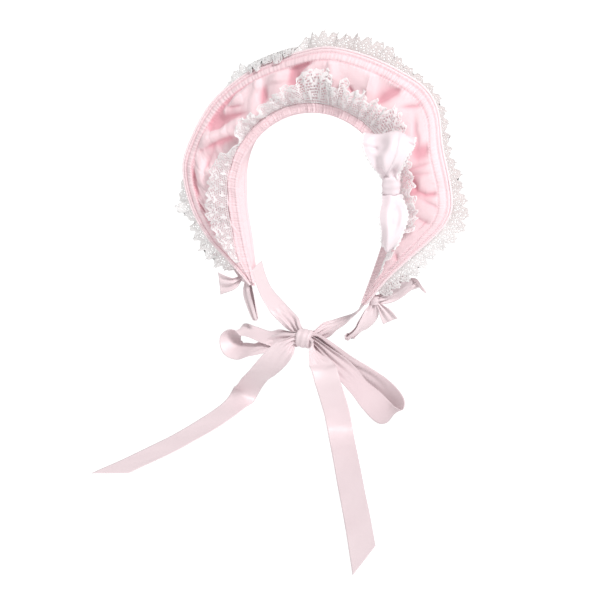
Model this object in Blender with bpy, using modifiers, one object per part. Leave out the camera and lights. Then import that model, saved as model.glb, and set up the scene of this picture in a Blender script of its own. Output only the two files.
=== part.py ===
# Half bonnet: a gathered and padded cotton brim on a narrow crown band, with lace edgings,
# a satin side bow, two small end bows, and satin ties in a bow under the chin.
# The tables and sizes are in millimetres. The mesh is in metres, +Z up, and the wearer faces -Y.
# The origin is the top centre of the face opening, on the seam where the band starts.

import math

import bmesh
import bpy
from mathutils import Vector

MM = 0.001
GAP = 0.35                  # clearance between pieces that touch on the real bonnet

# Face opening: a half circle at the top with straight sides that tuck in towards the tips
ARCH_RADIUS = 80.5
ARCH_SIDE = 99.0            # length of each straight side, along the seam
ARCH_TUCK = 24.5            # how far a side comes in towards its tip
ARCH_DROP = 95.5            # how far a side goes down
ARCH_LEAN = 0.30            # how far the seam comes forward for each mm that it goes down
LEAN_FADE = 500.0           # the lean fades with the depth below the crown over this length
CROWN_QUARTER = ARCH_RADIUS * math.pi / 2
TIP_ALONG = 225.0           # seam length from the centre top to a tip

# Cloth and trim
BRIM_THICK = 4.0            # cotton on both sides of a soft wadding
BAND_THICK = 2.0
BINDING_THICK = 1.4
BINDING_WIDE = 7.0
PIPING_RADIUS = 1.7
LACE_THICK = 1.0
RIBBON_THICK = 1.0

# Resolution of the solids
BRIM_COLUMNS = 64
BRIM_ROWS = 6
OUTER_WAVES = 44
INNER_WAVES = 30
WAVE_COLUMNS = 4

# Outline of the brim and its piping. Along is the place on the face seam, from the centre top to the
# wearer's left.
BRIM_EDGE = (
    # along, x, y, z
    (-225, -61.0, -36.0, -174.5),
    (-200, -83.0, -38.5, -151.0),
    (-175, -106.5, -34.5, -133.0),
    (-150, -128.5, -25.0, -106.0),
    (-120, -142.0, -11.0, -72.0),
    (-100, -136.5, 0.0, -44.0),
    (-80, -123.5, 12.5, -15.0),
    (-62, -103.0, 20.0, 7.5),
    (-42, -74.5, 22.0, 29.0),
    (-20, -35.5, 19.5, 48.5),
    (0, 0.0, 17.0, 60.0),
    (20, 36.0, 18.5, 56.5),
    (42, 69.5, 22.0, 44.5),
    (60, 95.0, 23.0, 30.5),
    (74, 109.5, 18.5, 12.0),
    (90, 119.0, 8.0, -19.0),
    (108, 131.5, -4.0, -49.0),
    (124, 137.0, -12.5, -69.5),
    (140, 133.5, -20.5, -84.5),
    (156, 123.0, -28.0, -98.0),
    (178, 104.5, -35.0, -117.5),
    (202, 82.5, -38.0, -142.5),
    (225, 61.5, -36.5, -173.0),
)

# Folds of the gathered cotton, which run from the seam to the edge. Drift is how far a fold moves along
# the seam on its way out, height is forward of the brim, and near and far are shares of its depth.
BRIM_FOLDS = (
    # along, drift, width, height, near, far
    (-196, 8, 8, 2.5, 0.10, 0.90),
    (-172, 8, 9, -3.0, 0.05, 0.85),
    (-150, 6, 8, 3.0, 0.10, 0.80),
    (-136, 4, 6, -3.0, 0.05, 0.80),
    (-121, 0, 7, 3.0, 0.15, 0.85),
    (-108, -4, 5, -4.0, 0.10, 0.90),
    (-95, -4, 6, 3.5, 0.20, 0.90),
    (-82, -2, 5, -4.0, 0.15, 0.85),
    (-64, 0, 8, 3.5, 0.10, 0.85),
    (-46, 4, 7, -3.0, 0.05, 0.75),
    (-27, 4, 7, -5.0, 0.10, 0.80),
    (-10, 0, 9, 4.0, 0.10, 0.95),
    (10, 2, 8, -2.5, 0.05, 0.75),
    (26, -4, 7, 3.0, 0.10, 0.80),
    (40, -6, 6, -6.0, 0.10, 0.85),
    (54, -6, 7, 5.0, 0.20, 0.95),
    (70, -2, 5, -3.5, 0.20, 0.85),
    (84, 4, 9, 4.5, 0.15, 0.80),
    (98, 6, 5, -3.0, 0.05, 0.60),
    (106, 4, 5, -5.0, 0.15, 0.95),
    (120, 0, 7, 3.5, 0.15, 0.85),
    (140, -4, 8, -2.5, 0.10, 0.75),
    (168, -6, 8, 2.5, 0.10, 0.80),
    (190, -6, 8, -2.0, 0.10, 0.80),
)
BRIM_BULGE = 4.0            # forward roll of the wadding between seam and edge

# Ribbons. Each row is a place on the centre line, the direction of the ribbon's width, and the width.
CHIN_KNOT = (2.0, -46.0, -215.5)
CHIN_KNOT_SIZE = (18.0, 17.0, 17.0)
LEFT_TIE = (
    # x, y, z, across x, across y, across z, wide
    (59.5, -20.5, -160.0, 0.0, -1.0, 0.0, 24),
    (55.6, -20.5, -172.0, 0.0, -1.0, 0.0, 24),
    (49.5, -21.0, -186.0, 0.0, -1.0, 0.0, 24),
    (39.0, -24.0, -197.0, 0.0, -1.0, -0.1, 24),
    (26.0, -30.0, -205.0, 0.0, -0.9, -0.4, 18),
    (11.3, -39.3, -212.5, 0.0, 0.0, -1.0, 12),
)
RIGHT_TIE = (
    # x, y, z, across x, across y, across z, wide
    (-59.5, -20.5, -160.0, 0.0, -1.0, 0.0, 24),
    (-55.6, -20.5, -172.0, 0.0, -1.0, 0.0, 24),
    (-49.0, -21.0, -186.0, 0.0, -1.0, 0.0, 24),
    (-37.0, -24.0, -197.5, 0.0, -1.0, -0.1, 24),
    (-23.0, -30.0, -205.0, 0.0, -0.9, -0.4, 18),
    (-7.3, -39.3, -212.5, 0.0, 0.0, -1.0, 12),
)
LEFT_LOOP = (
    # x, y, z, across x, across y, across z, wide
    (13.7, -43.2, -216.0, 0.0, 0.0, -1.0, 12),
    (24.0, -45.0, -222.5, -0.4, 0.1, -0.9, 18),
    (40.5, -41.0, -237.5, -0.54, -0.1, -0.8, 22),
    (61.0, -34.5, -251.5, -0.54, -0.1, -0.8, 23),
    (78.5, -30.5, -264.0, -0.6, 0.0, -0.75, 24),
    (90.5, -31.5, -275.0, -0.66, 0.1, -0.7, 24),
    (93.0, -39.0, -282.0, -0.66, 0.05, -0.7, 24),
    (86.0, -46.5, -279.5, -0.64, -0.3, -0.6, 24),
    (73.0, -48.5, -268.0, -0.55, -0.7, -0.35, 24),
    (60.0, -49.5, -256.0, -0.4, -0.9, 0.0, 24),
    (48.0, -50.5, -243.0, -0.5, -0.8, -0.2, 22),
    (30.0, -50.5, -228.5, -0.4, -0.3, -0.85, 17),
    (13.7, -48.3, -217.0, 0.0, 0.0, -1.0, 12),
)
RIGHT_LOOP = (
    # x, y, z, across x, across y, across z, wide
    (-8.2, -43.4, -217.0, 0.0, 0.0, -1.0, 12),
    (-20.0, -44.5, -221.0, 0.0, -0.6, -0.8, 17),
    (-38.0, -45.0, -222.5, 0.0, -0.98, -0.1, 24),
    (-57.0, -43.0, -220.5, 0.0, -0.98, -0.05, 24),
    (-73.0, -45.0, -227.0, 0.0, -0.75, -0.7, 24),
    (-80.0, -52.0, -235.0, 0.1, -0.45, -0.9, 24),
    (-76.0, -59.0, -240.0, 0.1, -0.5, -0.85, 24),
    (-64.0, -61.0, -239.0, 0.1, -0.8, -0.5, 24),
    (-49.0, -57.0, -232.0, 0.1, -0.95, -0.1, 24),
    (-32.0, -51.5, -225.0, 0.1, -0.85, -0.4, 20),
    (-19.0, -49.0, -220.5, 0.0, -0.4, -0.9, 16),
    (-8.2, -47.9, -217.5, 0.0, 0.0, -1.0, 12),
)
LEFT_TAIL = (
    # x, y, z, across x, across y, across z, wide
    (12.2, -53.0, -217.5, 0.2, 0.0, -1.0, 12),
    (18.0, -60.0, -223.5, 0.8, 0.2, -0.6, 16),
    (27.0, -67.0, -228.5, 0.93, 0.3, -0.15, 24),
    (34.0, -74.5, -230.5, 0.9, 0.4, 0.0, 24),
    (39.0, -79.5, -238.0, 0.87, 0.45, 0.12, 24),
    (43.0, -78.5, -252.0, 0.87, 0.45, 0.15, 24),
    (47.5, -77.0, -270.0, 0.88, 0.45, 0.1, 24),
    (52.5, -80.0, -286.0, 0.89, 0.45, 0.0, 24),
    (58.0, -89.0, -291.4, 0.89, 0.45, 0.0, 24),
    (76.0, -123.5, -291.4, 0.89, 0.45, 0.0, 24),
    (104.0, -178.0, -291.4, 0.89, 0.46, 0.0, 24),
    (132.0, -232.0, -291.4, 0.89, 0.45, 0.0, 24),
    (171.5, -311.0, -291.4, 0.89, 0.45, 0.0, 24),
)
RIGHT_TAIL = (
    # x, y, z, across x, across y, across z, wide
    (-8.6, -53.0, -218.0, 0.2, 0.0, -1.0, 12),
    (-14.0, -60.0, -224.5, 0.9, 0.1, -0.35, 18),
    (-24.0, -64.0, -237.0, 0.93, 0.28, -0.22, 24),
    (-35.0, -62.5, -250.5, 0.92, 0.35, -0.1, 24),
    (-48.0, -56.0, -266.0, 0.92, 0.38, 0.0, 24),
    (-58.5, -54.0, -283.0, 0.93, 0.3, 0.1, 24),
    (-64.0, -64.0, -291.2, 0.97, -0.1, 0.0, 24),
    (-68.0, -93.0, -291.4, 0.95, -0.25, 0.0, 24),
    (-76.0, -130.0, -291.4, 0.96, -0.28, 0.0, 24),
    (-92.0, -181.0, -291.4, 0.95, -0.3, 0.0, 24),
    (-118.0, -247.0, -291.4, 0.92, -0.4, 0.0, 24),
)
LEFT_TAIL_SLANT = 48.0      # how much longer one edge is than the other at the slanting cut
RIGHT_TAIL_SLANT = 25.0

# Side bow, sewn down over the inner lace on the wearer's left
SIDE_KNOT = (81.5, -29.5, -49.5)
SIDE_KNOT_SIZE = (17.0, 13.0, 22.0)
SIDE_UPPER_LOOP = (
    # x, y, z, across x, across y, across z, wide
    (80.5, -27.5, -37.9, 0.95, 0.1, -0.2, 15),
    (79.0, -22.8, -27.0, 0.95, 0.1, -0.3, 27),
    (76.5, -19.0, -14.0, 0.93, 0.1, -0.33, 38),
    (74.5, -19.0, -5.5, 0.92, 0.1, -0.35, 45),
    (74.5, -26.0, -3.5, 0.92, 0.1, -0.35, 47),
    (76.0, -34.0, -10.5, 0.92, 0.1, -0.35, 44),
    (78.0, -38.0, -20.5, 0.94, 0.1, -0.3, 34),
    (79.5, -38.5, -30.0, 0.95, 0.1, -0.2, 24),
    (80.5, -34.8, -37.9, 0.95, 0.1, -0.2, 15),
)
SIDE_LOWER_LOOP = (
    # x, y, z, across x, across y, across z, wide
    (81.5, -29.7, -61.9, 0.93, 0.2, -0.1, 14),
    (84.7, -33.9, -72.0, 0.92, 0.25, -0.1, 20),
    (86.7, -39.8, -87.0, 0.92, 0.25, -0.1, 21),
    (86.3, -46.0, -99.5, 0.92, 0.25, -0.1, 17),
    (85.5, -51.0, -105.0, 0.92, 0.25, -0.1, 13),
    (87.0, -55.0, -99.0, 0.92, 0.25, -0.1, 17),
    (89.5, -54.5, -86.0, 0.92, 0.25, -0.1, 22),
    (87.0, -47.5, -72.0, 0.92, 0.25, -0.1, 21),
    (83.0, -35.6, -61.9, 0.93, 0.2, -0.1, 15),
)

# End bows, sewn behind the two tips of the brim. These rows are for the wearer's left.
END_KNOT = (66.9, -29.3, -170.2)
END_KNOT_SIZE = (9.0, 8.0, 10.0)
END_LOWER_LOOP = (
    # x, y, z, across x, across y, across z, wide
    (65.0, -27.1, -175.6, 0.8, 0.5, 0.1, 8),
    (63.0, -28.5, -184.0, 0.7, 0.6, 0.2, 15),
    (55.0, -34.5, -197.0, 0.6, 0.7, 0.3, 15),
    (46.5, -40.5, -207.0, 0.6, 0.7, 0.3, 10),
    (46.5, -43.0, -208.0, 0.6, 0.7, 0.3, 10),
    (57.0, -39.0, -198.0, 0.6, 0.7, 0.3, 15),
    (65.0, -33.5, -184.0, 0.7, 0.6, 0.2, 15),
    (66.0, -30.9, -175.6, 0.8, 0.5, 0.1, 8),
)
END_UPPER_LOOP = (
    # x, y, z, across x, across y, across z, wide
    (72.6, -26.4, -168.0, 0.3, 0.3, -0.9, 8),
    (80.0, -17.5, -161.5, 0.3, 0.3, -0.9, 13),
    (91.5, -9.5, -154.5, 0.3, 0.3, -0.9, 14),
    (96.5, -10.5, -152.5, 0.3, 0.3, -0.9, 14),
    (93.5, -14.0, -156.0, 0.3, 0.3, -0.9, 14),
    (82.0, -22.0, -165.8, 0.3, 0.3, -0.9, 13),
    (72.6, -29.5, -169.5, 0.3, 0.3, -0.9, 8),
)
END_SQUARE_TAIL = (
    # x, y, z, across x, across y, across z, wide
    (72.4, -31.1, -173.6, 0.3, 0.1, 0.9, 5),
    (78.0, -30.5, -180.0, 0.8, 0.1, 0.5, 12),
    (83.0, -29.0, -189.5, 0.95, 0.2, 0.1, 16),
)
END_POINTED_TAIL = (
    # x, y, z, across x, across y, across z, wide
    (72.0, -24.4, -172.5, 0.2, 0.3, -0.9, 6),
    (82.5, -9.0, -164.5, 0.2, 0.3, -0.9, 13),
    (99.0, -4.5, -158.0, 0.4, 0.3, -0.9, 13),
    (111.0, -10.0, -163.0, 0.5, 0.3, -0.8, 3),
)
# The wearer's right end bow has its knot at the same height. Its tails fall another way.
FAR_LOWER_LOOP = (
    # x, y, z, across x, across y, across z, wide
    (-65.0, -27.1, -175.6, 0.8, -0.5, 0.1, 8),
    (-63.0, -29.5, -183.5, 0.8, -0.5, 0.1, 12),
    (-57.5, -34.5, -195.0, 0.8, -0.5, 0.1, 11),
    (-51.5, -40.5, -206.0, 0.8, -0.5, 0.1, 6),
    (-52.0, -43.0, -206.5, 0.8, -0.5, 0.1, 6),
    (-59.0, -39.5, -195.0, 0.8, -0.5, 0.1, 11),
    (-65.0, -34.5, -183.5, 0.8, -0.5, 0.1, 12),
    (-66.0, -31.1, -175.6, 0.8, -0.5, 0.1, 8),
)
FAR_SQUARE_TAIL = (
    # x, y, z, across x, across y, across z, wide
    (-72.4, -31.6, -171.5, 0.1, 0.0, -0.95, 6),
    (-78.0, -37.0, -175.0, 0.15, 0.0, -0.95, 13),
    (-90.5, -40.0, -176.5, 0.35, 0.0, -0.95, 23),
)


def clear_scene():
    for old in list(bpy.data.objects):
        bpy.data.objects.remove(old, do_unlink=True)


def material(name, colour, roughness):
    made = bpy.data.materials.new(name)
    made.use_nodes = True
    surface = made.node_tree.nodes["Principled BSDF"]
    surface.inputs["Base Color"].default_value = (*colour, 1.0)
    surface.inputs["Roughness"].default_value = roughness
    surface.inputs["Metallic"].default_value = 0.0
    return made


def table_at(rows, key):
    """Reads a table at a value of its first column, on a smooth curve through the rows."""
    index = 0
    while index < len(rows) - 2 and key > rows[index + 1][0]:
        index += 1
    first, second = rows[index], rows[index + 1]
    before = rows[max(index - 1, 0)]
    after = rows[min(index + 2, len(rows) - 1)]
    span = second[0] - first[0]
    t = (key - first[0]) / span
    read = []
    for c in range(1, len(first)):
        slope_in = (second[c] - before[c]) / (second[0] - before[0])
        slope_out = (after[c] - first[c]) / (after[0] - first[0])
        h = t * t * (3 - 2 * t)
        value = first[c] * (1 - h) + second[c] * h
        value += span * t * (1 - t) * ((1 - t) * slope_in - t * slope_out)
        read.append(value)
    return read


def spread_table(points):
    """Adds a first column with the length walked from row to row."""
    rows = []
    walked = 0.0
    for index, point in enumerate(points):
        if index:
            walked += (Vector(point[:3]) - Vector(points[index - 1][:3])).length
        rows.append((walked, *point))
    return rows


def ease(value):
    value = min(max(value, 0.0), 1.0)
    return value * value * (3 - 2 * value)


def seam(along):
    """A point of the face opening, by its length along the seam from the centre top."""
    side = math.copysign(1.0, along)
    length = abs(along)
    if length < CROWN_QUARTER:
        turn = length / ARCH_RADIUS
        x = ARCH_RADIUS * math.sin(turn)
        z = ARCH_RADIUS * (math.cos(turn) - 1)
    else:
        share = (length - CROWN_QUARTER) / ARCH_SIDE
        x = ARCH_RADIUS - ARCH_TUCK * abs(share) ** 1.25
        z = -ARCH_RADIUS - ARCH_DROP * share
    return Vector((side * x, ARCH_LEAN * z * (1 + z / LEAN_FADE), z))


def seam_outward(along):
    step = seam(along + 1) - seam(along - 1)
    return Vector((-step.z, 0, step.x)).normalized()


def edge(along):
    """The edge of the padded brim, a piping's width inside the outline."""
    outline = Vector(table_at(BRIM_EDGE, along))
    inward = (seam(along) - outline).normalized()
    return outline + inward * (2 * PIPING_RADIUS + GAP)


def fold_height(along, share):
    height = 0.0
    for place, drift, width, tall, near, far in BRIM_FOLDS:
        offset = (along - place - drift * share) / width
        rise = ease((share - near + 0.15) / 0.3) * ease((far + 0.15 - share) / 0.3)
        height += tall * math.exp(-offset * offset) * rise
    return height


def brim_facing(along):
    """The forward direction of the brim at one place along it."""
    step = edge(min(along + 2, TIP_ALONG)) - edge(max(along - 2, -TIP_ALONG))
    reach = edge(along) - Vector((0, -30, -100))
    return step.cross(reach).normalized()


def brim_shape(along, share):
    """A point of the middle of the brim's thickness."""
    inner = seam(along)
    outer = edge(along)
    depth = min((outer - inner).length / 50, 1.0)
    lift = (BRIM_BULGE * 4 * share * (1 - share) + fold_height(along, share)) * depth
    return inner.lerp(outer, share) + brim_facing(along) * lift


def place_along(u):
    return (2 * u - 1) * TIP_ALONG


BRIM_GRID = [
    [brim_shape(place_along(i / BRIM_COLUMNS), j / BRIM_ROWS) for j in range(BRIM_ROWS + 1)]
    for i in range(BRIM_COLUMNS + 1)
]


def grid_normal(i, j):
    """The forward direction of the brim's facets round one point of its grid."""
    step = BRIM_GRID[min(i + 1, BRIM_COLUMNS)][j] - BRIM_GRID[max(i - 1, 0)][j]
    reach = BRIM_GRID[i][min(j + 1, BRIM_ROWS)] - BRIM_GRID[i][max(j - 1, 0)]
    return step.cross(reach).normalized()


BRIM_NORMALS = [
    [grid_normal(i, j) for j in range(BRIM_ROWS + 1)]
    for i in range(BRIM_COLUMNS + 1)
]


def on_brim(along, share, lift=0.0):
    """A point on or over the flat facets of the brim, so that the trim keeps clear of them."""
    x = (along / TIP_ALONG + 1) / 2 * BRIM_COLUMNS
    y = share * BRIM_ROWS
    i = min(max(int(x), 0), BRIM_COLUMNS - 1)
    j = min(max(int(y), 0), BRIM_ROWS - 1)
    corners = []
    for m, n in ((i, j), (i + 1, j), (i, j + 1), (i + 1, j + 1)):
        corners.append(BRIM_GRID[m][n] + BRIM_NORMALS[m][n] * lift)
    near = corners[0].lerp(corners[1], x - i)
    far = corners[2].lerp(corners[3], x - i)
    return near.lerp(far, y - j)


def edge_outward(along):
    """The direction that carries on the brim past its outer edge."""
    step = on_brim(min(along + 3, TIP_ALONG), 1) - on_brim(max(along - 3, -TIP_ALONG), 1)
    return brim_facing(along).cross(step).normalized()


def brim_depth(along):
    return (edge(along) - seam(along)).length


def sheet(name, columns, rows, place, thick, look, holes=(), even=True):
    """A wall of cloth: an open grid laid out by place(u, v), in mm, and given its thickness."""
    mesh = bpy.data.meshes.new(name)
    grid = bmesh.new()
    bmesh.ops.create_grid(grid, x_segments=columns, y_segments=rows, size=0.5)
    cut = []
    for face in grid.faces:
        centre = face.calc_center_median()
        cell = (int((centre.x + 0.5) * columns), int((centre.y + 0.5) * rows))
        if cell in holes:
            cut.append(face)
    bmesh.ops.delete(grid, geom=cut, context="FACES")
    for vert in grid.verts:
        vert.co = place(vert.co.x + 0.5, vert.co.y + 0.5) * MM
    grid.to_mesh(mesh)
    grid.free()
    mesh.shade_smooth()
    made = bpy.data.objects.new(name, mesh)
    collection.objects.link(made)
    made.data.materials.append(look)
    wall = made.modifiers.new("Thickness", "SOLIDIFY")
    wall.thickness = thick * MM
    wall.offset = 0.0
    wall.use_even_offset = even
    wall.thickness_clamp = 1.0
    return made


def make_brim(look):
    return sheet(
        "brim", BRIM_COLUMNS, BRIM_ROWS,
        lambda u, v: brim_shape(place_along(u), v), BRIM_THICK, look,
    )


def make_piping(look):
    """A thin cord in a cotton cover, along the whole outer edge."""
    offset = BRIM_THICK / 2 * 0.2 + PIPING_RADIUS + GAP
    curve = bpy.data.curves.new("edge_piping", "CURVE")
    curve.dimensions = "3D"
    curve.bevel_depth = PIPING_RADIUS * MM
    curve.bevel_resolution = 1
    curve.use_fill_caps = True
    line = curve.splines.new("POLY")
    line.points.add(BRIM_COLUMNS)
    for index, point in enumerate(line.points):
        along = place_along(index / BRIM_COLUMNS)
        spot = (on_brim(along, 1) + edge_outward(along) * offset) * MM
        point.co = (*spot, 1.0)
    made = bpy.data.objects.new("edge_piping", curve)
    collection.objects.link(made)
    made.data.materials.append(look)
    return made


def make_binding(look):
    """The shirred strip that covers the seam round the face, on the same columns as the brim."""
    columns = BRIM_COLUMNS - 4
    lift = BRIM_THICK / 2 + GAP + BINDING_THICK / 2 + 0.8

    def place(u, v):
        along = place_along(u) * columns / BRIM_COLUMNS
        share = v * min(BINDING_WIDE / brim_depth(along), 1 / BRIM_ROWS)
        return on_brim(along, share, lift)

    return sheet("face_binding", columns, 1, place, BINDING_THICK, look)


BAND_DEEP = 32.0
BAND_TIP = 12.0


def make_band(look):
    """The crown band, which runs back from the seam round the face opening."""
    start = BRIM_THICK / 2 + GAP + 1.9

    def place(u, v):
        along = place_along(u) * 0.985
        high = math.cos(min(abs(along) / TIP_ALONG, 1.0) * math.pi / 2)
        deep = BAND_TIP + (BAND_DEEP - BAND_TIP) * high ** 0.7
        back = Vector((0, start + v * deep, 0))
        spread = BAND_THICK / 2 + 2.0 * v
        return seam(along) + seam_outward(along) * spread + back

    return sheet("crown_band", 44, 2, place, BAND_THICK, look)


OUTER_IN = 7.0              # how far inside the edge the lace is sewn on, behind the brim
OUTER_RUFFLE = 8.0
OUTER_FROM = -208.0
OUTER_TO = 214.0
OUTER_SHOW = (
    # along, reach past the edge, lean to the back
    (-214, 13, -2), (-190, 20, -4), (-160, 20, -4), (-142, 16, -4), (-122, 11, -3), (-98, 9, 0),
    (-78, 10, 3), (-58, 15, 4), (-20, 13, 5), (20, 13, 5), (45, 14, 5), (62, 9, 10), (82, 8, 11),
    (102, 11, 9), (122, 15, 5), (150, 14, 6), (182, 15, 5), (214, 11, 5),
)


def make_outer_lace(look):
    columns = OUTER_WAVES * WAVE_COLUMNS
    rows = 3
    holes = {(wave * WAVE_COLUMNS + 1, 1) for wave in range(OUTER_WAVES)}
    lift = BRIM_THICK / 2 + LACE_THICK / 2 + GAP + 1.1

    def place(u, v):
        along = OUTER_FROM + (OUTER_TO - OUTER_FROM) * u
        ends = ease(u * 24) * ease((1 - u) * 24)
        wave = math.cos(2 * math.pi * u * OUTER_WAVES)
        inside = min(OUTER_IN, brim_depth(along) * 0.3)
        show, lean = table_at(OUTER_SHOW, along)
        out = -inside + (inside + show * (0.6 + 0.4 * ends) + 1.5 * wave) * v
        calm = 0.3 + 0.7 * ease((OUTER_TO - abs(along)) / 45)
        ruffle = OUTER_RUFFLE * calm * v * (1 - wave) / 2 + lean * v * v * ends
        share = 1 + min(out, 0.0) / brim_depth(along)
        spot = on_brim(along, share, -lift) + edge_outward(along) * max(out, 0.0)
        return spot - brim_facing(along) * ruffle

    return sheet("outer_lace", columns, rows, place, LACE_THICK, look, holes, even=False)


INNER_IN = 8.0              # the stitch line of the inner lace, past the binding
INNER_OUT = 29.0
INNER_RUFFLE = 9.0
INNER_FROM = -200.0
INNER_TO = 196.0
BOW_ALONG = 99.0            # where the side bow is sewn down through the lace
BOW_REACH = 48.0            # how far up and down the seam its loops press on the lace


def make_inner_lace(look):
    columns = INNER_WAVES * WAVE_COLUMNS
    rows = 3
    holes = {(wave * WAVE_COLUMNS + 1, 1) for wave in range(INNER_WAVES)}
    lift = BRIM_THICK / 2 + LACE_THICK / 2 + GAP + 1.3

    def place(u, v):
        along = INNER_FROM + (INNER_TO - INNER_FROM) * u
        ends = ease(u * 12) * ease((1 - u) * 12)
        wave = math.cos(2 * math.pi * u * INNER_WAVES)
        from_bow = abs(along - BOW_ALONG)
        pressed = 1 - 0.5 * ease(1.4 - from_bow / BOW_REACH)
        far = INNER_IN + (INNER_OUT - INNER_IN) * (0.35 + 0.65 * ends) + 1.5 * wave
        far = min(far, brim_depth(along) * 0.8)
        near = min(INNER_IN, far - 4)
        share = (near + (far - near) * v) / brim_depth(along)
        ruffle = INNER_RUFFLE * ease(v * 1.3) * (1 - wave) / 2 * pressed * (0.3 + 0.7 * ends)
        return on_brim(along, share, lift) + brim_facing(along) * ruffle

    return sheet("inner_lace", columns, rows, place, LACE_THICK, look, holes, even=False)


def ribbon(name, points, look, columns, slant=0.0, across=2):
    """A length of ribbon through a short table of rows. A slant cuts its far end at an angle."""
    rows = spread_table(points)
    total = rows[-1][0]

    def place(u, v):
        walked = u * (total - slant * v)
        x, y, z, ax, ay, az, wide = table_at(rows, walked)
        ahead = Vector(table_at(rows, min(walked + 1, total))[:3])
        behind = Vector(table_at(rows, max(walked - 1, 0))[:3])
        way = (ahead - behind).normalized()
        width = Vector((ax, ay, az))
        width = (width - way * width.dot(way)).normalized()
        return Vector((x, y, z)) + width * wide * (v - 0.5)

    return sheet(name, columns, across, place, RIBBON_THICK, look)


def knot(name, centre, size, look):
    """The band of ribbon pulled tight round the middle of a bow."""
    mesh = bpy.data.meshes.new(name)
    block = bmesh.new()
    bmesh.ops.create_cube(block, size=1.0)
    for vert in block.verts:
        scaled = [vert.co[axis] * size[axis] for axis in range(3)]
        vert.co = (Vector(centre) + Vector(scaled)) * MM
    block.to_mesh(mesh)
    block.free()
    mesh.shade_smooth()
    made = bpy.data.objects.new(name, mesh)
    collection.objects.link(made)
    made.data.materials.append(look)
    round_off = made.modifiers.new("Soft edges", "BEVEL")
    round_off.width = min(size) * 0.28 * MM
    round_off.segments = 2
    return made


def mirrored(points):
    """The same rows on the other side of the bonnet."""
    return tuple((-x, y, z, -ax, ay, az, wide) for x, y, z, ax, ay, az, wide in points)


def make_chin_bow(look):
    ribbon("left_tie", LEFT_TIE, look, 12)
    ribbon("right_tie", RIGHT_TIE, look, 12)
    ribbon("chin_left_loop", LEFT_LOOP, look, 28)
    ribbon("chin_right_loop", RIGHT_LOOP, look, 26)
    ribbon("chin_left_tail", LEFT_TAIL, look, 28, slant=LEFT_TAIL_SLANT)
    ribbon("chin_right_tail", RIGHT_TAIL, look, 26, slant=RIGHT_TAIL_SLANT)
    knot("chin_knot", CHIN_KNOT, CHIN_KNOT_SIZE, look)


def make_side_bow(look):
    ribbon("side_bow_upper_loop", SIDE_UPPER_LOOP, look, 22)
    ribbon("side_bow_lower_loop", SIDE_LOWER_LOOP, look, 22)
    knot("side_bow_knot", SIDE_KNOT, SIDE_KNOT_SIZE, look)


def make_end_bow(side, loops_and_tails, look):
    lower_loop, upper_loop, square_tail, pointed_tail = loops_and_tails
    ribbon(side + "_end_bow_lower_loop", lower_loop, look, 14, across=1)
    ribbon(side + "_end_bow_upper_loop", upper_loop, look, 14, across=1)
    ribbon(side + "_end_bow_square_tail", square_tail, look, 4, across=1)
    ribbon(side + "_end_bow_pointed_tail", pointed_tail, look, 5, across=1)
    sign = 1 if side == "left" else -1
    centre = (END_KNOT[0] * sign, END_KNOT[1], END_KNOT[2])
    knot(side + "_end_bow_knot", centre, END_KNOT_SIZE, look)


clear_scene()
collection = bpy.data.collections.new("half_bonnet")
bpy.context.scene.collection.children.link(collection)
pink_cotton = material("pink_cotton", (0.90, 0.55, 0.60), 0.85)
white_lace = material("white_lace", (0.93, 0.91, 0.90), 0.9)
pale_satin = material("pale_satin", (0.91, 0.72, 0.76), 0.35)
make_brim(pink_cotton)
make_piping(pink_cotton)
make_binding(pink_cotton)
make_band(pink_cotton)
make_outer_lace(white_lace)
make_inner_lace(white_lace)
make_side_bow(pale_satin)
make_end_bow(
    "left", (END_LOWER_LOOP, END_UPPER_LOOP, END_SQUARE_TAIL, END_POINTED_TAIL), pale_satin,
)
make_end_bow(
    "right",
    (FAR_LOWER_LOOP, mirrored(END_UPPER_LOOP), FAR_SQUARE_TAIL, mirrored(END_POINTED_TAIL)),
    pale_satin,
)
make_chin_bow(pale_satin)
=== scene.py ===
import math

import bmesh
import bpy
import numpy as np
from mathutils import Matrix, Vector


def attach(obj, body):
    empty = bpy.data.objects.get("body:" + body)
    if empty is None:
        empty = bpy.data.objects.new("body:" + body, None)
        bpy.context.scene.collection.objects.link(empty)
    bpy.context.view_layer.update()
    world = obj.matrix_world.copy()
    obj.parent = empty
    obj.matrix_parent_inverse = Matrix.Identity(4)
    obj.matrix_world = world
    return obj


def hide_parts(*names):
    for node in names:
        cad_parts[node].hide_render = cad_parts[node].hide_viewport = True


# Half bonnet in gathered pink cotton with cotton lace and satin bows.
# Shapes are worked out in millimetres and written to the meshes in metres.

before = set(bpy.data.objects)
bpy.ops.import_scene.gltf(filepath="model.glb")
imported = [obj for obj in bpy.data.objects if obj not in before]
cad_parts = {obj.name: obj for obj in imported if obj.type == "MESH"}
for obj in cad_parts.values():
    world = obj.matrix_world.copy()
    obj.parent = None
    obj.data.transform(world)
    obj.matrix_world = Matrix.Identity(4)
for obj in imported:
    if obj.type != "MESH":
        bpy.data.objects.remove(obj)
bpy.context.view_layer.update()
mm = 0.001

# Camera and light

studio = {
    "azimuth": 23.0,                    # degrees round from the front, to the wearer's left
    "elevation": 25.0,
    "distance": 2.4,
    "lens": 151.6,
    "sensor": 36.0,
    "clipEnd": 40.0,
    "target": (0.0, -0.0535, -0.172),
    "floorHeight": -0.2925,
    "floorSize": 9.0,
    "paperGlow": 0.92,
    "worldStrength": 0.57,
    "keyStrength": 2.55,
    "keyAzimuth": 60.0,
    "keyElevation": 52.0,
    "keySoftness": 16.0,                # degrees across
}


def towards(azimuth, elevation):
    turn, lift = math.radians(azimuth), math.radians(elevation)
    flat = math.cos(lift)
    return Vector((math.sin(turn) * flat, -math.cos(turn) * flat, math.sin(lift)))


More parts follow.
